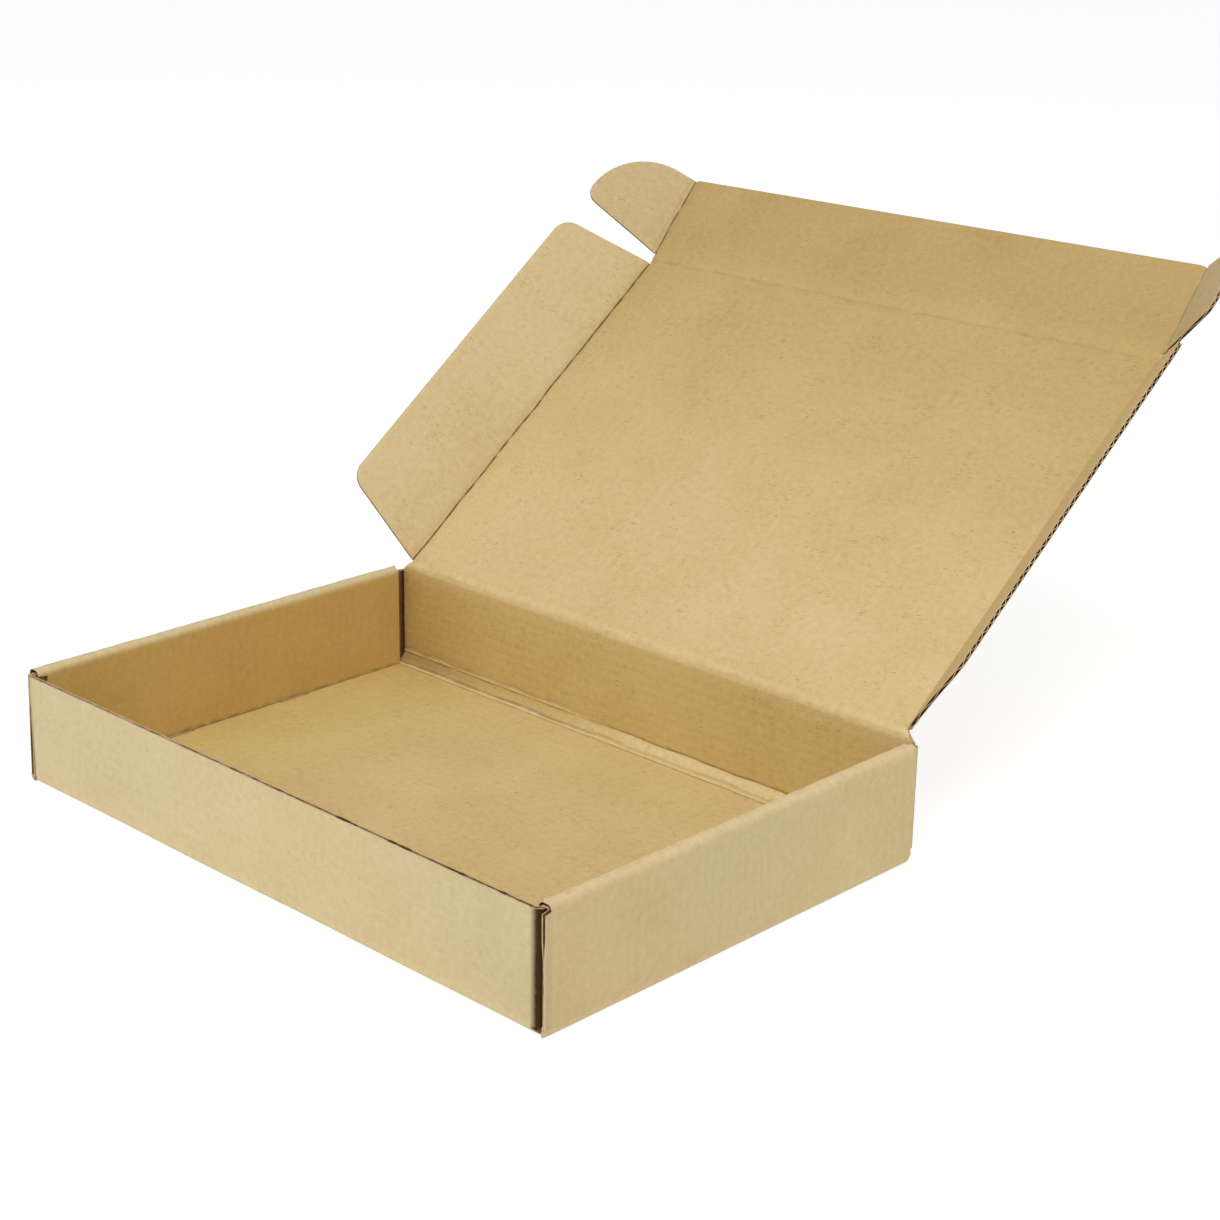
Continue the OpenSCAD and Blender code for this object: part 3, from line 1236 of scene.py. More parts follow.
@dataclass
class CentreStrip:
    """The strip along the middle, from raw edge to raw edge: front wall, floor, back wall, lid, tuck flap.

    A step is the largest distance between stations on its part of the strip. A notch is the length over
    which the outline goes from one width to another, and give the length over which its rows follow.
    """

    plan: BoxPlan
    place: Place = field(default_factory=lambda: Place(NOWHERE, Y_AXIS, Z_AXIS, X_AXIS))
    marks: dict[str, float] = field(default_factory=dict)
    walk: Walk = field(init=False)
    floor_start: float = field(init=False)
    column_step: float = 1.5
    panel_step: float = 2.2
    floor_step: float = 3.0
    lid_step: float = 2.6
    fine_run: float = 6.0
    fine_step: float = 0.45
    bevel: float = 45.0
    bevel_step: float = 0.2
    rise_run: float = 4.0
    rise_step: float = 0.4
    notch: float = 0.3
    side_room: float = 0.2
    give: float = 8.0

    def __post_init__(self) -> None:
        """Walks the whole strip and keeps the length at each fold."""
        p, marks = self.plan, self.marks
        round_r = p.bend_middle
        slope = math.tan(math.radians(self.bevel / 2))
        mitre, tangent = BOARD.half * slope, round_r * slope
        walk = Walk((BOARD.half - p.half_d, p.wall_top), -90.0)
        marks["start"] = walk.length
        walk.run(p.wall_top - p.bend, self.panel_step)
        marks["front_fold"] = walk.length
        walk.turn(90, round_r, 10)
        marks["floor"] = walk.length
        self.floor_start = p.bend - p.half_d
        floor_end = p.half_d - p.back_crease - mitre - tangent
        fine = floor_end - self.fine_run
        edges = [self.floor_start, *(y for pair in p.slot_y for y in pair), fine]
        for low, high in zip(edges[:-1], edges[1:]):
            walk.run(high - low, self.floor_step)
        walk.run(floor_end - fine, self.fine_step)
        marks["foot"] = walk.length
        walk.turn(self.bevel, round_r, 7)
        slant = math.sqrt(2) * (p.back_crease - BOARD.half + mitre) - 2 * tangent
        walk.run(slant, self.bevel_step).turn(self.bevel, round_r, 7)
        marks["back"] = walk.length
        rise = p.hinge[2] - p.hinge_roll - walk.place[1]
        walk.run(self.rise_run, self.rise_step).run(rise - self.rise_run, self.panel_step)
        marks["hinge"] = walk.length
        turn = p.lid_heading - 90
        walk.turn(turn, p.hinge_roll / math.tan(math.radians(-turn / 2)), 18)
        marks["lid"] = walk.length
        walk.run(p.lid_len - p.hinge_roll - p.flap_end - self.notch, self.lid_step)
        walk.run(p.flap_end + self.notch - p.crease_half, self.notch)
        marks["tuck_crease"] = walk.length
        turn = p.tuck_heading - p.lid_heading
        walk.turn(turn, p.crease_half / math.tan(math.radians(turn / 2)), 14)
        marks["tuck"] = walk.length
        walk.run(p.ear_start - p.crease_half - self.notch, 1.0).run(self.notch, self.notch)
        walk.run(p.tuck_len - p.ear_start, self.panel_step)
        marks["end"] = walk.length
        self.walk = walk

    def on_floor(self, y: Array) -> Array:
        """Length along the strip of a place on the floor."""
        return self.marks["floor"] + y - self.floor_start

    def on_back(self, z: Array) -> Array:
        """Length along the strip of a height on the back wall."""
        return self.marks["hinge"] - (self.plan.hinge[2] - self.plan.hinge_roll - z)

    def on_lid(self, distance: Array) -> Array:
        """Length along the strip of a distance from the hinge."""
        return self.marks["lid"] + distance - self.plan.hinge_roll

    def on_tuck(self, distance: Array) -> Array:
        """Length along the strip of a distance from the tuck crease."""
        return self.marks["tuck"] + distance - self.plan.crease_half

    def cut(self, first: str, last: str) -> Section:
        """The strip's section between two folds."""
        return self.walk.between(self.marks[first], self.marks[last])

    def tray(self) -> Sheet:
        """Front wall, floor and back wall in one, with the slots of the lock tabs.

        Returns:
            The sheet, its inner paper pressed in at the scores and crushed along the back wall's foot.
        """
        p, m = self.plan, self.marks
        section = self.cut("start", "hinge")
        s = section.lengths
        full = p.half_w - p.bend
        inner, outer = p.slot_x
        columns = stations([-full, -outer, -inner, inner, outer, full], self.column_step)
        turns = [m["front_fold"], m["floor"], m["back"] - 1.7, m["back"] - 0.4]
        left, right = (np.interp(s, turns, [p.front_wall(side), full, full, p.flat_wall]) for side in Side)
        rows = squeezed(columns, -left, right, self.give)
        plan = spread(rows, s[:, None])
        length = s[:, None] + 0 * rows
        fold_line = (m["front_fold"] + m["floor"]) / 2
        # Painted shade in the crease inside the front wall's fold; the same hump also presses the inner
        # paper in.
        score = hump(length, fold_line, 0.7) * 0.35
        foot_rise, foot_painted_shade, foot_wear_and_highlight = self._foot(length, rows)
        spans = [self.on_floor(np.array(span)) - TINY for span in p.slot_y]
        sides = [np.array(span) - TINY for span in ((-outer, -inner), (inner, outer))]
        holes = [
            (slice(*np.searchsorted(s, span)), slice(*np.searchsorted(columns, side)))
            for span in spans
            for side in sides
        ]
        rise = foot_rise - 0.3 * score
        sheet = laid(self.place, section, rows, plan, slack(plan), inside=rise, holes=holes)
        self._front_edge(sheet, len(columns), fold_line)
        # Painted shade on the outside of both front corners, in the gap beside the side wall.
        shades = []
        for side, end in ((Side.LEFT, m["front_fold"] + TINY), (Side.RIGHT, m["floor"])):
            shades.append(p.corner_shade(side * rows - p.front_wall(side)) * (length < end))
        sheet.score = np.clip(score + foot_painted_shade, 0, 1)
        sheet.score_outside = np.maximum(*shades)
        # Paler wear with a painted highlight along the front wall's fold and the back wall's foot.
        sheet.fold = np.clip(0.7 * hump(length, fold_line, 1.2) + foot_wear_and_highlight, 0, 1)
        return sheet

    def _front_edge(self, sheet: Sheet, columns: int, fold_line: float) -> None:
        """Splits the front wall's raw edge, wider to the right, and opens the right corner's lower end.

        Args:
            sheet: The tray's sheet.
            columns: Number of places along the front edge.
            fold_line: Length at the fold below the front wall.
        """
        along, length = sheet.rim_plan().T
        front = np.arange(len(along)) < columns
        folded = np.abs(length - fold_line) < self.marks["floor"] - fold_line + 0.3
        corner = folded & (along > self.plan.front_wall(Side.RIGHT))
        opened = torn(along, Seed.FRONT_EDGE, 0.2, 0.62) * (0.45 + 0.55 * ease(along, -70, 50))
        sheet.gap = np.select([front, corner], [opened, 0.6], BOARD.shut_gap)
        sheet.depth = np.select([front, corner], [1.6, 0.5], BOARD.shut_depth)

    def _foot(self, length: Array, across: Array) -> tuple[Array, Array, Array]:
        """Crushed double crease along the back wall's foot.

        A pressed line, a narrow raised bead and a second line run beside the floor. To the left the strip
        sinks in by a half sine over its width, and its upper edge is a ridge; to the right it is flat, and
        its upper edge a pressed line. Between them the paper is wrinkled. The pressed lines and the sunk
        band are darkened as painted shade, most towards the left corner; the bead, the ridge and the flat
        band are paler, as wear with a painted highlight.

        Args:
            length: Lengths along the strip.
            across: Places along the crease.

        Returns:
            The rise of the inner paper, its painted shade, and its paler wear with a painted highlight.
        """
        low, high = self.marks["foot"], self.marks["back"]
        left = 1 - ease(across, -42, 8)
        right = 1 - left
        first = low + 0.35 + 0.1 * wander(across, Seed.FOOT_FIRST, 26.0)
        bead = first + 1.05 + 0.14 * wander(across, Seed.FOOT_BEAD, 22.0)
        second = first + 2.0 + 0.2 * wander(across, Seed.FOOT_SECOND, 30.0)
        last = high - 0.35 + 0.3 * wander(across, Seed.FOOT_LAST, 24.0)
        depth = 1 + 0.35 * wander(across, Seed.FOOT_DEPTH, 14.0)
        share = np.clip((length - second) / (last - second), 0, 1)
        band = ease(length, second + 0.2, second + 0.9) * (1 - ease(length, last - 1.2, last - 0.3))
        pressed = 0.6 * hump(length, first, 0.36) + (0.3 + 0.7 * left) * hump(length, second, 0.62)
        pressed = pressed + 0.9 * right * hump(length, last, 0.45)
        pressed = pressed + 0.35 * left * hump(length, last + 1.3, 0.7)
        sunk = left * np.sin(np.pi * share) ** 0.7
        # Paler wear with a painted highlight on the bead, the ridge and the flat band.
        worn = hump(length, bead, 0.6) * (0.45 + 0.5 * left)
        worn = worn + 0.8 * left * hump(length, last, 0.8) + right * band
        rise = 0.28 * hump(length, bead, 0.6) + 0.4 * left * hump(length, last, 0.75)
        rise = rise - 0.3 * depth * pressed - 0.95 * sunk
        wrinkle = 0.05 + 0.18 * hump(across, -18, 18)
        rise = rise + wrinkle * band * waves(across, 2 * length, Seed.FOOT_WRINKLE, 6.0)
        # Painted shade on the pressed lines and the sunk band, most towards the left corner.
        near = 0.15 + 0.35 * (1 - ease(across, -110, -50))
        return rise, 0.4 * np.clip(pressed * depth + near * sunk, 0, 1), worn

    def hinge(self) -> Sheet:
        """The soft roll between the back wall and the lid.

        Returns:
            The sheet.
        """
        section = self.cut("hinge", "lid")
        last = self.plan.flap_crease - self.plan.crease_half
        half = np.linspace(self.plan.flat_wall - 0.25, last, len(section.lengths))
        rows = half[:, None] * stations([-1.0, 1.0], self.column_step / last)
        s = section.lengths[:, None] + 0 * rows
        plan = spread(rows, s)
        share = (s - s[0]) / (s[-1] - s[0])
        soft = np.sin(np.pi * share)
        ripple = 0.09 * soft * waves(rows, s * 3, Seed.HINGE_ROLL, 15.0)
        inside = ripple - 0.1 * hump(s, s[0] + 0.8, 0.5) * soft
        inside = inside + self.plan.pressed(half[:, None] - np.abs(rows)) * ease(share, 0.2, 0.6)
        # The roll is paler along its round, as wear with a painted highlight.
        return laid(self.place, section, rows, plan, slack(plan), inside=inside, fold=0.75 * soft)

    def lid(self) -> Sheet:
        """The lid's flat panel, with a slight sag towards its middle.

        Returns:
            The sheet.
        """
        p = self.plan
        section = self.cut("lid", "tuck_crease")
        half = p.flap_crease - p.crease_half
        s = section.lengths[:, None]
        notch = [s[-1, 0] - 2 * self.notch, s[-1, 0] - self.notch]
        reach = np.interp(s[:, 0], notch, [half, p.flap_crease - self.side_room])
        rows = squeezed(stations([-half, half], self.panel_step), -reach, reach, self.give)
        plan = spread(rows, s)
        share = (s - s[0]) / (s[-1] - s[0])
        sag = -p.lid_sag * np.sin(np.pi * share) * np.cos(np.pi * rows / (2 * half))
        pressed = p.pressed(half - np.abs(rows))
        return laid(self.place, section, rows, plan, slack(plan) + sag, inside=pressed)

    def tuck_crease(self) -> Sheet:
        """The lightly pressed crease between the lid and the tuck flap.

        Returns:
            The sheet.
        """
        p = self.plan
        section = self.cut("tuck_crease", "tuck")
        share = np.linspace(0, 1, len(section.lengths))
        half = p.flap_crease - self.side_room + (p.ear_crease - p.flap_crease) * share
        rows = half[:, None] * stations([-1.0, 1.0], self.column_step / p.flap_crease)
        s = section.lengths[:, None] + 0 * rows
        plan = spread(rows, s)
        middle = (s[0] + s[-1]) / 2 + 0.18 * wander(rows, Seed.TUCK_CREASE, 35.0)
        uneven = 0.6 + 0.35 * wander(rows, Seed.TUCK_PRESS, 12.0)
        pressed = np.clip(hump(s, middle, 0.55) * uneven, 0, 1)
        ridge = hump(s, middle - 0.75, 0.3) * 0.05
        inside = ridge - 0.22 * pressed + p.pressed(p.flap_crease - p.crease_half - np.abs(rows))
        # Painted shade in the lightly pressed crease.
        return laid(self.place, section, rows, plan, slack(plan), inside=inside, score=0.11 * pressed)

    def tuck(self) -> Sheet:
        """The tuck flap's flat panel, its far edge raw and split.

        Returns:
            The sheet.
        """
        p = self.plan
        section = self.cut("tuck", "end")
        half = p.ear_crease - p.crease_half
        s = section.lengths[:, None]
        shoulder = s[0, 0] + p.ear_start - p.crease_half
        ends = [p.ear_crease - self.side_room, half]
        reach = np.interp(s[:, 0], [shoulder - self.notch, shoulder], ends)
        rows = squeezed(stations([-half, half], self.column_step), -reach, reach, self.give)
        plan = spread(rows, s)
        calm = 1 - ease(s, s[-1] - 15, s[-1])
        pressed = p.pressed(half - np.abs(rows))
        sheet = laid(self.place, section, rows, plan, slack(plan) * calm, inside=pressed)
        along, length = sheet.rim_plan().T
        far = length > section.lengths[-1] - TINY
        sheet.gap = np.where(far, torn(along, Seed.TUCK_EDGE, 0.05, 0.42), BOARD.shut_gap)
        sheet.depth = np.where(far, 0.9, BOARD.shut_depth)
        return sheet


@dataclass
class WallEar:
    """Ear of the front or back wall: it turns round the corner and lies inside the side wall."""

    plan: BoxPlan
    strip: CentreStrip
    side: Side
    at_back: bool
    run_step: float = 3.0
    lean_step: float = 0.8
    height_step: float = 2.0

    def sheet(self) -> Sheet:
        """The ear in plan: a quarter turn from the wall and a straight run along the side.

        Returns:
            The sheet.
        """
        p = self.plan
        loose = self.side is Side.RIGHT and not self.at_back
        lean = p.ear_lean if loose else 0.0
        width = p.flat_wall if self.at_back else p.front_wall(self.side)
        walk = Walk((width, BOARD.half - p.half_d), 0.0)
        walk.turn(90 - lean, p.front_round if loose else p.bend_middle, 14)
        walk.run(p.ear_lean_run, self.lean_step)
        if loose:
            walk.turn(lean, p.front_round, 3)
        walk.run(p.wall_ear - p.ear_lean_run, self.run_step)
        section = walk.between(0.0, walk.length)
        foot = p.back_crease - BOARD.thickness if self.at_back else p.bend
        heights = stations([foot, p.wall_top], self.height_step)
        rows = np.tile(heights, (len(section.lengths), 1))
        along = self.strip.on_back(rows) if self.at_back else p.wall_top - rows
        plan = spread(self.side * (width + section.lengths[:, None]), along)
        place = Place(NOWHERE, self.side * X_AXIS, -Y_AXIS if self.at_back else Y_AXIS, Z_AXIS)
        sheet = laid(place, section, rows, plan)
        across, length = sheet.rim_plan().T
        top = np.abs(length - along[0, -1]) < TINY
        sheet.gap = np.where(top, torn(across, Seed.EAR_EDGE, 0.08, 0.45), 0.1)
        sheet.depth = np.where(top, 0.9, 0.3)
        # Painted shade on the ear's inner paper, in the narrow gap behind the side panel, darkest near the
        # corner.
        sheet.score = 0.9 - 0.6 * ease(section.lengths, 1.5, 5.5)[:, None] + 0 * rows
        # Painted shade on the front ears' outside, in the gap behind the front wall's corner.
        if not self.at_back:
            sheet.score_outside = p.corner_shade(section.lengths)[:, None] + 0 * rows
        return sheet


@dataclass
class RollOverWall:
    """Side wall from one strip: up outside, over at a ledge and down inside, to two lock tabs.

    The section's lengths are kept at the outer panel's foot, at both ends of the ledge's first fold and at
    both ends of its second one.
    """

    plan: BoxPlan
    strip: CentreStrip
    side: Side
    section: Section = field(init=False)
    chamfer: float = field(init=False)
    foot: float = field(init=False)
    first: float = field(init=False)
    ledge: float = field(init=False)
    second: float = field(init=False)
    down: float = field(init=False)
    cut_length: float = 0.5
    panel_step: float = 1.6
    chamfer_step: float = 0.6
    ledge_step: float = 0.4
    column_step: float = 1.5
    give: float = 14.0
    left_slant: tuple[float, float] = (0.45, 1.4)
    dent: float = 0.07
    crush: float = 0.55

    def __post_init__(self) -> None:
        """Walks the section and keeps the length at each fold."""
        p, cut, r = self.plan, self.cut_length, self.plan.bend_middle
        self.chamfer = p.corner_cut - p.bend
        walk = Walk((p.half_w - p.bend, BOARD.half), 0.0).turn(90, r, 8)
        self.foot = walk.length
        walk.run(self.chamfer, self.chamfer_step)
        walk.run(p.height - 2 * p.bend - self.chamfer - cut, self.panel_step).run(cut, cut)
        self.first = walk.length
        walk.turn(90, r, 12)
        self.ledge = walk.length
        walk.run(cut, cut).run(p.half_w - p.panel_face - 2 * p.bend - cut, self.ledge_step)
        self.second = walk.length
        walk.turn(90, r, 12)
        self.down = walk.length
        walk.run(cut, cut).run(p.height - p.bend - p.panel_foot - cut, self.panel_step)
        self.section = walk.between(0.0, walk.length)

    @property
    def is_left(self) -> bool:
        """Whether this is the left wall."""
        return self.side is Side.LEFT

    def sheets(self) -> list[Sheet]:
        """The wall and its lock tabs."""
        return [self.wall(), *(self.tab(place) for place in (-self.plan.tab_place, self.plan.tab_place))]

    def _axes(self) -> Place:
        """Axes of the wall's section: outwards and up, with rows towards the back."""
        return Place(NOWHERE, self.side * X_AXIS, Z_AXIS, Y_AXIS)

    def _ends(self) -> tuple[Array, Array]:
        """Ends of the section's rows: the strip is cut shorter where it turns over.

        Returns:
            The front end of each row, and its back end.
        """
        p, cut = self.plan, self.cut_length
        side_back = p.half_d - p.side_setback
        lower, upper = self.left_slant if self.is_left else (0.0, 0.0)
        fronts = {
            0.0: p.crease_gap - p.half_d,
            self.foot: p.crease_gap - p.half_d,
            self.foot + cut: lower - p.half_d,
            self.first - cut: upper - p.half_d,
            self.first: BOARD.thickness + p.ledge_setback - p.half_d,
            self.down: BOARD.thickness + p.ledge_setback - p.half_d,
            self.down + cut: BOARD.thickness + p.panel_setback - p.half_d,
        }
        backs = {
            0.0: side_back - p.corner_cut,
            self.foot: side_back - self.chamfer,
            self.foot + self.chamfer: side_back,
            self.ledge: side_back,
            self.ledge + cut: p.half_d - BOARD.thickness - p.panel_setback,
        }
        low, high = (np.interp(self.section.lengths, [*e.keys()], [*e.values()]) for e in (fronts, backs))
        return low, high

    def wall(self) -> Sheet:
        """The strip's section carried along the side, with dents and wear on its folds.

        Returns:
            The sheet.
        """
        p, s = self.plan, self.section.lengths
        low, high = self._ends()
        columns = stations([-p.half_d, p.half_d - p.side_setback], self.column_step)
        rows = squeezed(columns, low, high, self.give)
        plan = spread(self.side * (p.half_w - p.bend + s[:, None]), self.strip.on_floor(rows))
        length = s[:, None] + 0 * rows
        rolls = hump(length, (self.first + self.ledge) / 2, 1.3)
        rolls = rolls + hump(length, (self.second + self.down) / 2, 1.3)
        seed = Seed.LEFT_WALL if self.is_left else Seed.RIGHT_WALL
        dents = waves(rows, 2 * length, seed, 11.0) + 0.6 * waves(rows, 2 * length, seed + 1, 4.5)
        dented = -self.dent * rolls * np.clip(dents + 0.6, 0, 2)
        sheet = laid(self._axes(), self.section, rows, plan, slack(plan, 0.05), outside=dented)
        if not self.is_left:
            share = (length - self.foot) / (self.first - self.foot)
            lower = ease(length, self.foot, self.foot + 1.5) * (1 - ease(share, 0.55, 0.8))
            sheet.inside = -self.crush * lower * (1 - ease(rows - low[:, None], 0.3, 4.0))
        # Paler wear along the ledge's folds and the foot's fold; on the ledge it is a painted highlight as
        # well.
        worn = hump(length, self.ledge, 1.0) + hump(length, self.second, 1.0)
        sheet.fold = 0.85 * np.clip(worn, 0, 1) + 0.6 * hump(length, self.foot / 2, 1.2)
        # Painted shade along the inner panel's lower edge, in the gap above the floor, darker towards the
        # front.
        broken = np.clip(0.7 + 0.6 * wander(rows, seed + 2, 9.0), 0, 1)
        sheet.score_outside = (0.7 - 0.35 * ease(rows, -50, 10)) * hump(length, s[-1], 0.42) * broken
        self._raw_edges(sheet)
        return sheet

    def _raw_edges(self, sheet: Sheet) -> None:
        """Splits the raw edges between their papers.

        The left outer panel gapes near its foot and the right one near its top. Both ledges stand open.

        Args:
            sheet: The wall.
        """
        across, along = sheet.rim_plan().T
        walked = np.abs(across) - (self.plan.half_w - self.plan.bend)
        share = (walked - self.foot) / (self.first - self.foot)
        if self.is_left:
            seed, wide, ledge = Seed.LEFT_UPRIGHT, 1 - ease(share, 0.35, 0.75), 0.54
        else:
            seed, wide, ledge = Seed.RIGHT_UPRIGHT, ease(share, 0.55, 0.85), 0.36
        upright = torn(walked, seed, 0.03, 0.16) + 0.42 * wide
        parts = [walked < self.foot, walked < self.first, walked < self.down]
        front = along < self.strip.on_floor(0.0)
        sheet.gap = np.where(front, np.select(parts, [0.04, upright, ledge], 0.2), 0.04)
        sheet.depth = np.where(front, np.select(parts, [0.1, 2.4, 2.0], 0.4), 0.1)

    def tab(self, place: float) -> Sheet:
        """A lock tab that goes down into its slot in the floor.

        Args:
            place: The tab's middle along the wall.

        Returns:
            The sheet.
        """
        p = self.plan
        walk = Walk((p.panel_face + BOARD.half, p.panel_foot), -90.0)
        walk.run(p.panel_foot - BOARD.liner, self.chamfer_step)
        section = walk.between(0.0, walk.length)
        columns = stations([place - p.tab_w / 2, place + p.tab_w / 2], self.column_step)
        rows = np.tile(columns, (len(section.lengths), 1))
        across = self.side * (p.half_w + p.height + section.lengths[:, None])
        plan = spread(across, self.strip.on_floor(rows))
        return laid(self._axes(), section, rows, plan)


@dataclass
class SideFlap(ABC):
    """A flap that folds about a crease at the side of the lid or the tuck flap.

    Its section starts on the carrying panel, turns by the fold over the crease and runs on to the free
    edge. Each row of the flap lies between two outlines that depend on the distance from the crease. The
    flutes open over a span of that distance.
    """

    plan: BoxPlan
    strip: CentreStrip
    side: Side
    fold: float
    seed: int
    pressed: float = 1.0
    bow: float = 0.07
    curl: float = 0.0
    row_step: float = 0.3
    crease_step: float = 1.2
    groove_half: float = 0.56
    groove_depth: float = 1.05
    crush_reach: float = 1.6
    opening: tuple[float, float] = (0.3, 2.5)

    @abstractmethod
    def axes(self) -> Place:
        """Axes of the flap's section."""

    @abstractmethod
    def along(self, distance: Array) -> Array:
        """Length along the blank of a place along the crease."""

    @abstractmethod
    def outline(self) -> tuple[Array, Array, Array]:
        """Distances from the crease, with the flap's two ends at each."""

    @abstractmethod
    def crease_x(self) -> float:
        """Distance of the crease from the box's middle."""

    def _turn(self) -> Walk:
        """The walk over the crease."""
        half = self.plan.crease_half
        return Walk((-half, 0.0), 0.0).turn(self.fold, half / math.tan(math.radians(self.fold / 2)), 12)

    def crease(self) -> Sheet:
        """The pressed crease: its inner paper is pushed into a narrow groove with straight sides.

        Returns:
            The sheet.
        """
        walk = self._turn()
        section = walk.between(0.0, walk.length)
        _, low, high = self.outline()
        row = stations([float(low[0]), float(high[0])], self.crease_step)
        rows = np.tile(row, (len(section.lengths), 1))
        s = section.lengths[:, None] + 0 * rows
        plan = spread(self.side * (self.crease_x() - self.plan.crease_half + s), self.along(rows))
        middle = walk.length / 2 + 0.1 * wander(rows, self.seed, 24.0)
        groove = self.pressed * np.clip(1 - np.abs(s - middle) / self.groove_half, 0, 1)
        depth = self.groove_depth + 0.14 * wander(rows, self.seed + 1, 9.0)
        # Painted shade in the crease's groove.
        score = 0.85 * groove * np.clip(0.9 + 0.4 * wander(rows, self.seed + 2, 6.0), 0, 1)
        press = self.plan.crease_press
        inside = -press - (depth - press) * groove
        return laid(self.axes(), section, rows, plan, slack(plan, self.bow), inside=inside, score=score)

    def flap(self) -> Sheet:
        """The flap itself, with its flutes open along the free edges.

        Returns:
            The sheet.
        """
        walk = self._turn()
        start = walk.length
        distance, low, high = self.outline()
        section = walk.straight(distance[1:] - distance[0]).between(start, np.inf)
        share = stations([0.0, 1.0], self.row_step / float(high[0] - low[0]))
        rows = low[:, None] + (high - low)[:, None] * share
        reached = section.lengths[:, None] - start
        foot = self.crease_x() + self.plan.crease_half
        plan = spread(self.side * (foot + reached), self.along(rows))
        far = distance[-1]
        bow = slack(plan, self.bow) * (1 - ease(distance, far - 12, far)[:, None])
        bow = bow - self.curl * (reached / far) ** 2
        ends = np.minimum(rows - low[:, None], high[:, None] - rows)
        edge = np.minimum(ends, (far - distance)[:, None])
        crush = -BOARD.crush * (1 - ease(edge, 0.0, self.crush_reach)) * ease(reached, *self.opening)
        inside = np.minimum(crush, self.plan.pressed(reached))
        sheet = laid(self.axes(), section, rows, plan, bow, inside=inside, outside=crush)
        free = np.abs(sheet.rim_plan()[:, 0]) - self.crease_x() - self.plan.crease_half
        opened = ease(free, *self.opening)
        sheet.gap = BOARD.shut_gap + (BOARD.open_gap - BOARD.crush - BOARD.shut_gap) * opened
        sheet.depth = BOARD.shut_depth + (BOARD.flute_depth - BOARD.shut_depth) * opened
        sheet.fluted = slice(len(share) + 2, len(free) - 2)
        return sheet


@dataclass
class DustFlap(SideFlap):
    """Dust flap at the side of the lid: slanted ends and round corners."""

    def axes(self) -> Place:
        """Axes of the flap's section: outwards, up from the lid's inner paper, and away from the hinge.

        Returns:
            The axes, from the hinge's end of the crease.
        """
        out = self.side * X_AXIS
        along, up = self.plan.directions(self.plan.lid_heading)
        return Place(self.plan.hinge + self.plan.flap_crease * out, out, up, along)

    def along(self, distance: Array) -> Array:
        """Length along the blank of a distance from the hinge."""
        return self.strip.on_lid(distance)

    def crease_x(self) -> float:
        """Distance of the crease from the box's middle."""
        return self.plan.flap_crease

    def outline(self) -> tuple[Array, Array, Array]:
        """Each end is a straight slant, then a round corner tangent to it and to the free edge.

        Returns:
            Distances from the crease, and the flap's two ends at each.
        """
        p = self.plan
        slant, corner = math.radians(p.flap_slant), p.flap_corner
        reach = p.flap_len - corner
        touch = reach + corner * math.sin(slant)
        bow = np.linspace(math.radians(90) - slant, 0, 16)[1:]
        distance = np.concatenate([stations([p.crease_half, touch], 1.3), reach + corner * np.cos(bow)])
        middle = p.flap_end + reach * math.tan(slant) + corner / math.cos(slant)
        arc = middle - np.sqrt(np.clip(corner**2 - (distance - reach) ** 2, 0, None))
        low = np.where(distance <= touch, p.flap_end + distance * math.tan(slant), arc)
        return distance, low, p.lid_len - low


@dataclass
class LockEar(SideFlap):
    """Lock ear at the side of the tuck flap: a straight slanted edge, a small corner and one round edge."""

    def axes(self) -> Place:
        """Axes of the ear's section: outwards, up from the tuck flap's inner paper, and away from the lid.

        Returns:
            The axes, from the lid's end of the crease.
        """
        out = self.side * X_AXIS
        along, up = self.plan.directions(self.plan.tuck_heading)
        return Place(self.plan.tuck + self.plan.ear_crease * out, out, up, along)

    def along(self, distance: Array) -> Array:
        """Length along the blank of a distance from the tuck crease."""
        return self.strip.on_tuck(distance)

    def crease_x(self) -> float:
        """Distance of the crease from the box's middle."""
        return self.plan.ear_crease

    def outline(self) -> tuple[Array, Array, Array]:
        """The near end is a slant, a corner arc and the round edge's lower part, the far end its upper one.

        Returns:
            Distances from the crease, and the ear's two ends at each.
        """
        p = self.plan
        slant, big, small = math.radians(p.ear_slant), p.ear_round, p.ear_corner
        top = p.tuck_len - p.crease_gap - 0.01
        centre = np.array([p.ear_reach - big, top - big])
        along = np.array([math.cos(slant), math.sin(slant)])
        start = np.array([0, p.ear_start]) + small * np.array([-math.sin(slant), math.cos(slant)]) - centre
        lead = float(start @ along)
        slide = math.sqrt(lead**2 - float(start @ start) + (big - small) ** 2) - lead
        corner = start + slide * along
        turn = math.atan2(corner[1], corner[0])
        corner = corner + centre
        touch = corner[0] + small * math.sin(slant)
        meet = centre[0] + big * math.cos(turn)
        swing = np.linspace(slant - math.pi / 2, math.radians(-6.0), 28)[1:]
        straight = stations([p.crease_half, touch], 0.5)
        distance = np.concatenate([straight, corner[0] + small * np.cos(swing)])
        slope = p.ear_start + distance * math.tan(slant)
        near = np.sqrt(np.clip(small**2 - (distance - corner[0]) ** 2, 0, None))
        far = np.sqrt(np.clip(big**2 - (distance - centre[0]) ** 2, 0, None))
        low = np.where(distance <= touch, slope, corner[1] - near)
        parts = [distance <= centre[0], distance <= meet]
        high = np.select(parts, [top, centre[1] + far], corner[1] + near)
        return distance, low, high


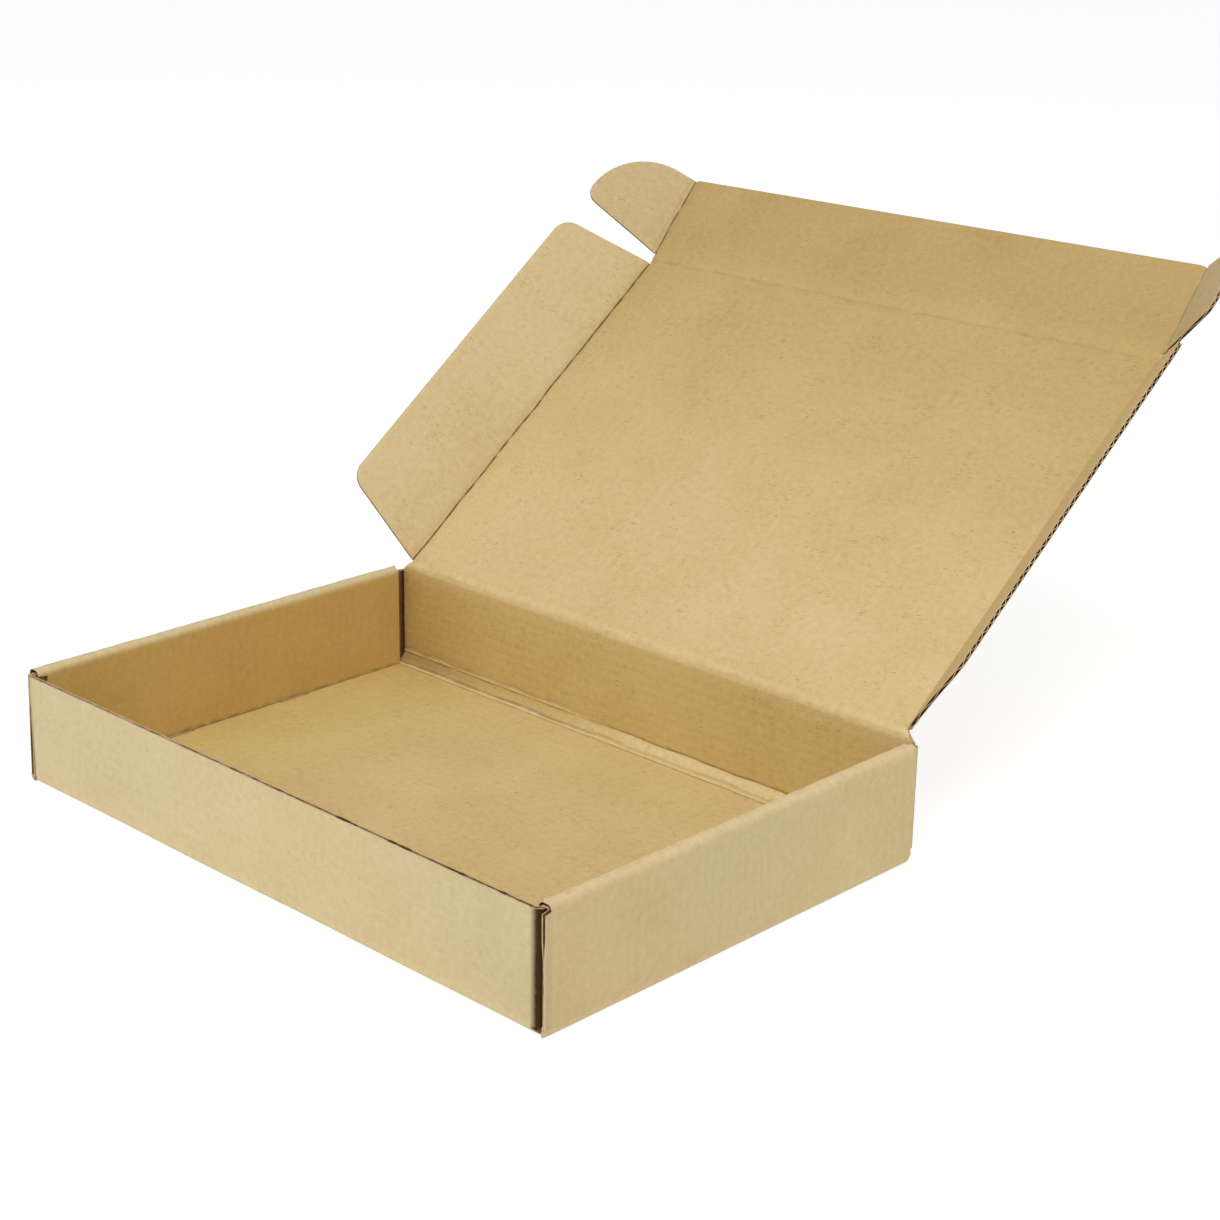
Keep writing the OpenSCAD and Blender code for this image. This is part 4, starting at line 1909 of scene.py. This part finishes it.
@dataclass(frozen=True)
class Lamp:
    """A soft square lamp that looks at a point, in metres and watts."""

    name: str
    place: tuple[float, float, float]
    size: float
    power: float
    colour: Colour = (1.0, 1.0, 1.0)

    def build(self, aim: tuple[float, float, float]) -> None:
        """Hangs the lamp.

        Args:
            aim: The point that it looks at.
        """
        data = bpy.data.lights.new(self.name, "AREA")
        data.size, data.energy, data.color = self.size, self.power, self.colour
        back = np.array(self.place) - np.array(aim)
        back = back / np.linalg.norm(back)
        right = np.cross(Y_AXIS if abs(back[2]) > 0.99 else Z_AXIS, back)
        right = right / np.linalg.norm(right)
        placed(self.name, data, posed([right, np.cross(back, right), back], np.array(self.place)))


@dataclass(frozen=True)
class Studio:
    """Camera, light and floor.

    Angles are in degrees, the camera's offsets and distance in millimetres, the rest in metres. To the
    camera the floor is partly a white glow, so that it looks white and keeps the box's shadow.
    """

    azimuth: float = 43.825
    elevation: float = 19.298
    roll: float = 0.891
    focal_px: float = 2423.65
    offset: tuple[float, float] = (-47.17, -65.885)
    distance: float = 768.2
    clip: tuple[float, float] = (0.01, 100.0)
    aim: tuple[float, float, float] = (0.0, 0.05, 0.06)
    floor_half: float = 12.0
    floor_cells: int = 8
    floor_tone: Colour = (0.93, 0.93, 0.93)
    glow: float = 1.27
    glow_share: float = 0.64
    sky: float = 0.45
    lamps: tuple[Lamp, ...] = (
        Lamp("key_lamp", (0.66, -0.88, 1.35), 1.0, 19.9),
        Lamp("front_lamp", (-0.5, -1.6, 0.5), 1.0, 4.2),
        Lamp("side_lamp", (1.5, -0.3, 0.25), 0.6, 1.8),
    )

    def build(self) -> None:
        """Makes the camera, the lamps, the sky and the floor."""
        bpy.context.scene.view_settings.view_transform = "Standard"
        self._camera()
        for lamp in self.lamps:
            lamp.build(self.aim)
        self._sky()
        self._floor()

    def _camera(self) -> None:
        """Sets the camera: back from the origin along its own axis, and moved sideways by the offsets."""
        a, e, r = np.radians([self.azimuth, self.elevation, self.roll])
        back = np.array([np.sin(a) * np.cos(e), -np.cos(a) * np.cos(e), np.sin(e)])
        right = np.array([np.cos(a), np.sin(a), 0])
        up = np.cross(back, right)
        axes = [np.cos(r) * right + np.sin(r) * up, np.cos(r) * up - np.sin(r) * right, back]
        place = np.stack(axes, 1) @ np.array([-self.offset[0], -self.offset[1], self.distance]) * MM
        data = bpy.data.cameras.new("camera")
        data.sensor_width = SENSOR_MM
        data.lens = self.focal_px / IMAGE_PX * SENSOR_MM
        data.clip_start, data.clip_end = self.clip
        bpy.context.scene.camera = placed("camera", data, posed(axes, place))

    def _sky(self) -> None:
        """White where it is seen, also in glossy or clear surfaces, and an even soft light to the rest."""
        g = Graph(bpy.data.worlds.new("sky"))
        strength = self.sky + g.seen() * (1 - self.sky)
        shader = g.node("ShaderNodeBackground", {}, {"Color": (1, 1, 1, 1), "Strength": strength})
        bpy.context.scene.world = g.finish(shader)

    def _floor(self) -> None:
        """A pale floor of one wide sheet, level with the box's underside."""
        side = np.linspace(-self.floor_half, self.floor_half, self.floor_cells + 1)
        across, along = np.meshgrid(side, side, indexing="ij")
        points = np.stack([across, along, np.zeros_like(across)], -1).reshape(-1, 3)
        cells = quads(np.arange(across.size).reshape(across.shape)).reshape(-1, 4)
        mesh = bpy.data.meshes.new("floor")
        mesh.from_pydata(points.tolist(), [], cells.tolist())
        g = Graph(bpy.data.materials.new("pale_floor"))
        diffuse = g.node("ShaderNodeBsdfDiffuse", {}, {"Color": (*self.floor_tone, 1)})
        glow = g.node("ShaderNodeEmission", {}, {"Color": (1, 1, 1, 1), "Strength": self.glow})
        sockets = {0: g.seen() * self.glow_share, 1: diffuse, 2: glow}
        mesh.materials.append(g.finish(g.node("ShaderNodeMixShader", {}, sockets)))
        floor = placed("floor", mesh)


def finishes() -> list[bpy.types.Material]:
    """The materials of the four papers, in the order of Paper.

    Returns:
        The materials.
    """
    outer = Kraft(
        "kraft_outer",
        tone=(0.57, 0.455, 0.25),
        shadow=(0.49, 0.375, 0.19),
        light=(0.64, 0.53, 0.31),
        fibre=(0.28, 0.19, 0.08),
        straw=(0.7, 0.6, 0.37),
        worn=(0.76, 0.595, 0.345),
        crack=(0.045, 0.017, 0.004),
        dark_strength=0.2,
        pale_strength=0.2,
        streak_share=0.1,
        drifts=(
            # Painted shade: the inner side panels darker and more golden, as in the shade inside the box.
            Drift((0.92, 0.76, 0.44), across=(158.2, 160.4)),
            # Painted light: the front wall's outside lighter and cooler to the left, darker to the right.
            Drift((1.03, 1.05, 1.12), until=(38.0, 36.0), across=(50.0, -118.0), mirrored=False),
            Drift((0.93, 0.94, 0.97), until=(38.0, 36.0), across=(10.0, 118.0), mirrored=False),
            # Painted light: the right wall's outside darker and warmer at the front, lighter towards the
            # back.
            Drift((0.96, 0.92, 0.87), until=(130.0, 37.0), across=(119.0, 121.0), mirrored=False),
            Drift((1.07, 1.05, 1.02), along=(90.0, 190.0), across=(119.0, 121.0), mirrored=False),
        ),
    )
    inner = Kraft(
        "kraft_inner",
        tone=(0.595, 0.45, 0.218),
        shadow=(0.5, 0.355, 0.15),
        light=(0.66, 0.52, 0.275),
        fibre=(0.25, 0.15, 0.05),
        straw=(0.7, 0.57, 0.31),
        worn=(0.7, 0.57, 0.33),
        crack=(0.045, 0.017, 0.004),
        drifts=(
            # Painted shade: the lid and the tuck flap darker and more golden away from the hinge, the tuck
            # flap darker still.
            Drift((0.79, 0.73, 0.61), along=(240.0, 425.0), across=(115.0, 112.0)),
            Drift((0.95, 0.94, 0.95), along=(388.0, 400.0), across=(115.0, 112.0)),
            # Painted shade: the lock ears darker and cooler.
            Drift((0.87, 0.88, 0.97), along=(388.0, 396.0), across=(113.0, 115.0)),
            # Painted light: the dust flaps paler and cooler, the right one warmer.
            Drift((0.97, 1.01, 1.1), (234.0, 238.0), (394.0, 388.0), (113.0, 115.0)),
            Drift((1.03, 0.95, 0.82), (234.0, 238.0), (394.0, 388.0), (113.0, 115.0), mirrored=False),
            # Painted light and shade: the front wall's inside and the floor lighter, darker and more golden
            # near the left wall.
            Drift((1.06, 1.03, 0.95), until=(193.5, 190.5)),
            Drift((0.97, 0.95, 0.82), until=(193.5, 190.5), across=(-40.0, -112.0), mirrored=False),
            # Painted shade: the back wall's inside darker and more golden, most towards the left corner.
            Drift((0.93, 0.88, 0.7), along=(190.5, 193.5), until=(236.0, 222.0)),
            Drift((0.84, 0.77, 0.66), (190.5, 193.5), (236.0, 222.0), (-50.0, -118.0), mirrored=False),
        ),
    )
    cut = CutPaper("cut_edge", tone=(0.57, 0.43, 0.26), shadow=(0.38, 0.26, 0.14))
    # The fluted paper's brown, darkened as painted shade inside the splits and the open flutes.
    medium = CutPaper("fluted_medium", tone=(0.22, 0.135, 0.055), shadow=(0.1, 0.055, 0.018))
    return [outer.material(), inner.material(), cut.material(), medium.material()]


@dataclass
class MailerBox:
    """The whole box: its pieces, the bodies that they ride on and the nodes that they stand for.

    Folds are in degrees.
    """

    plan: BoxPlan
    papers: list[bpy.types.Material]
    left_flap_fold: float = 54.0
    right_flap_fold: float = 51.5
    ear_fold: float = 46.0
    ear_press: float = 0.85
    crease_parts: int = 6

    def build(self) -> None:
        """Builds the tray, the lid and its flaps in order."""
        plan, strip = self.plan, CentreStrip(self.plan)
        self._tray(strip)
        self._lid(strip)
        left = DustFlap(plan, strip, Side.LEFT, self.left_flap_fold, Seed.LEFT_FLAP)
        right = DustFlap(plan, strip, Side.RIGHT, self.right_flap_fold, Seed.RIGHT_FLAP, 0.35, curl=0.8)
        for flap in (left, right):
            self._flap(flap, "lid", f"{flap.side.word}_dust_flap")
        for side, seed in ((Side.LEFT, Seed.LEFT_EAR), (Side.RIGHT, Seed.RIGHT_EAR)):
            ear = LockEar(plan, strip, side, self.ear_fold, seed, self.ear_press, bow=0.0)
            self._flap(ear, "tuck_flap", f"{side.word}_lock_ear")

    def _tray(self, strip: CentreStrip) -> None:
        """Centre sheet, roll-over side walls and the walls' ears, all on the tray.

        Args:
            strip: The strip along the middle.
        """
        pieces = [Piece("tray_sheet", [strip.tray()])]
        for side in Side:
            wall = RollOverWall(self.plan, strip, side)
            ears = [WallEar(self.plan, strip, side, at_back).sheet() for at_back in (False, True)]
            pieces.append(Piece(f"{side.word}_roll_over_wall", wall.sheets()))
            pieces.append(Piece(f"{side.word}_wall_ears", ears))
        for piece in pieces:
            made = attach(piece.build(self.papers, Slot.TRAY), "tray")
            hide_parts("tray")

    def _lid(self, strip: CentreStrip) -> None:
        """Lid, tuck flap and the two creases across the strip.

        Args:
            strip: The strip along the middle.
        """
        self._on_body(strip.lid(), "lid", Slot.LID)
        self._on_body(strip.tuck(), "tuck_flap", Slot.FLAP)
        self._crease(strip.hinge(), "hinge_roll", "tray", "lid", Slot.LID)
        self._crease(strip.tuck_crease(), "tuck_crease", "lid", "tuck_flap", Slot.LID)

    def _flap(self, flap: SideFlap, carrier: str, name: str) -> None:
        """A side flap and its crease."""
        self._on_body(flap.flap(), name, Slot.FLAP)
        self._crease(flap.crease(), f"{name}_crease", carrier, name, Slot.FLAP)

    def _on_body(self, sheet: Sheet, body: str, slot: Slot) -> None:
        """A sheet that stands for the node of its body's name."""
        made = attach(Piece(f"{body}_sheet", [sheet]).build(self.papers, slot), body)
        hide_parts(body)

    def _crease(self, sheet: Sheet, name: str, first: str, last: str, slot: Slot) -> None:
        """A crease between two bodies, built as one piece where it lies.

        Args:
            sheet: The crease.
            name: The piece's name.
            first: The body at its start; not used.
            last: The body at its end; not used.
            slot: The record's material slot.
        """
        column = sheet.middle[:, sheet.middle.shape[1] // 2] * MM
        made = Piece(name, [sheet]).build(self.papers, slot)
        part = (column[-1] - column[0]) / self.crease_parts
        tuple(column[0] + part)
        tuple(column[-1] - part)
        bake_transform(made)


def main() -> None:
    """Loads the frame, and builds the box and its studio."""
    logging.basicConfig(level=logging.INFO, format="%(name)s %(message)s")
    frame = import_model()
    MailerBox(BoxPlan.from_frame(frame), finishes()).build()
    Studio().build()
    bpy.context.view_layer.update()


if __name__ == "__main__":
    main()
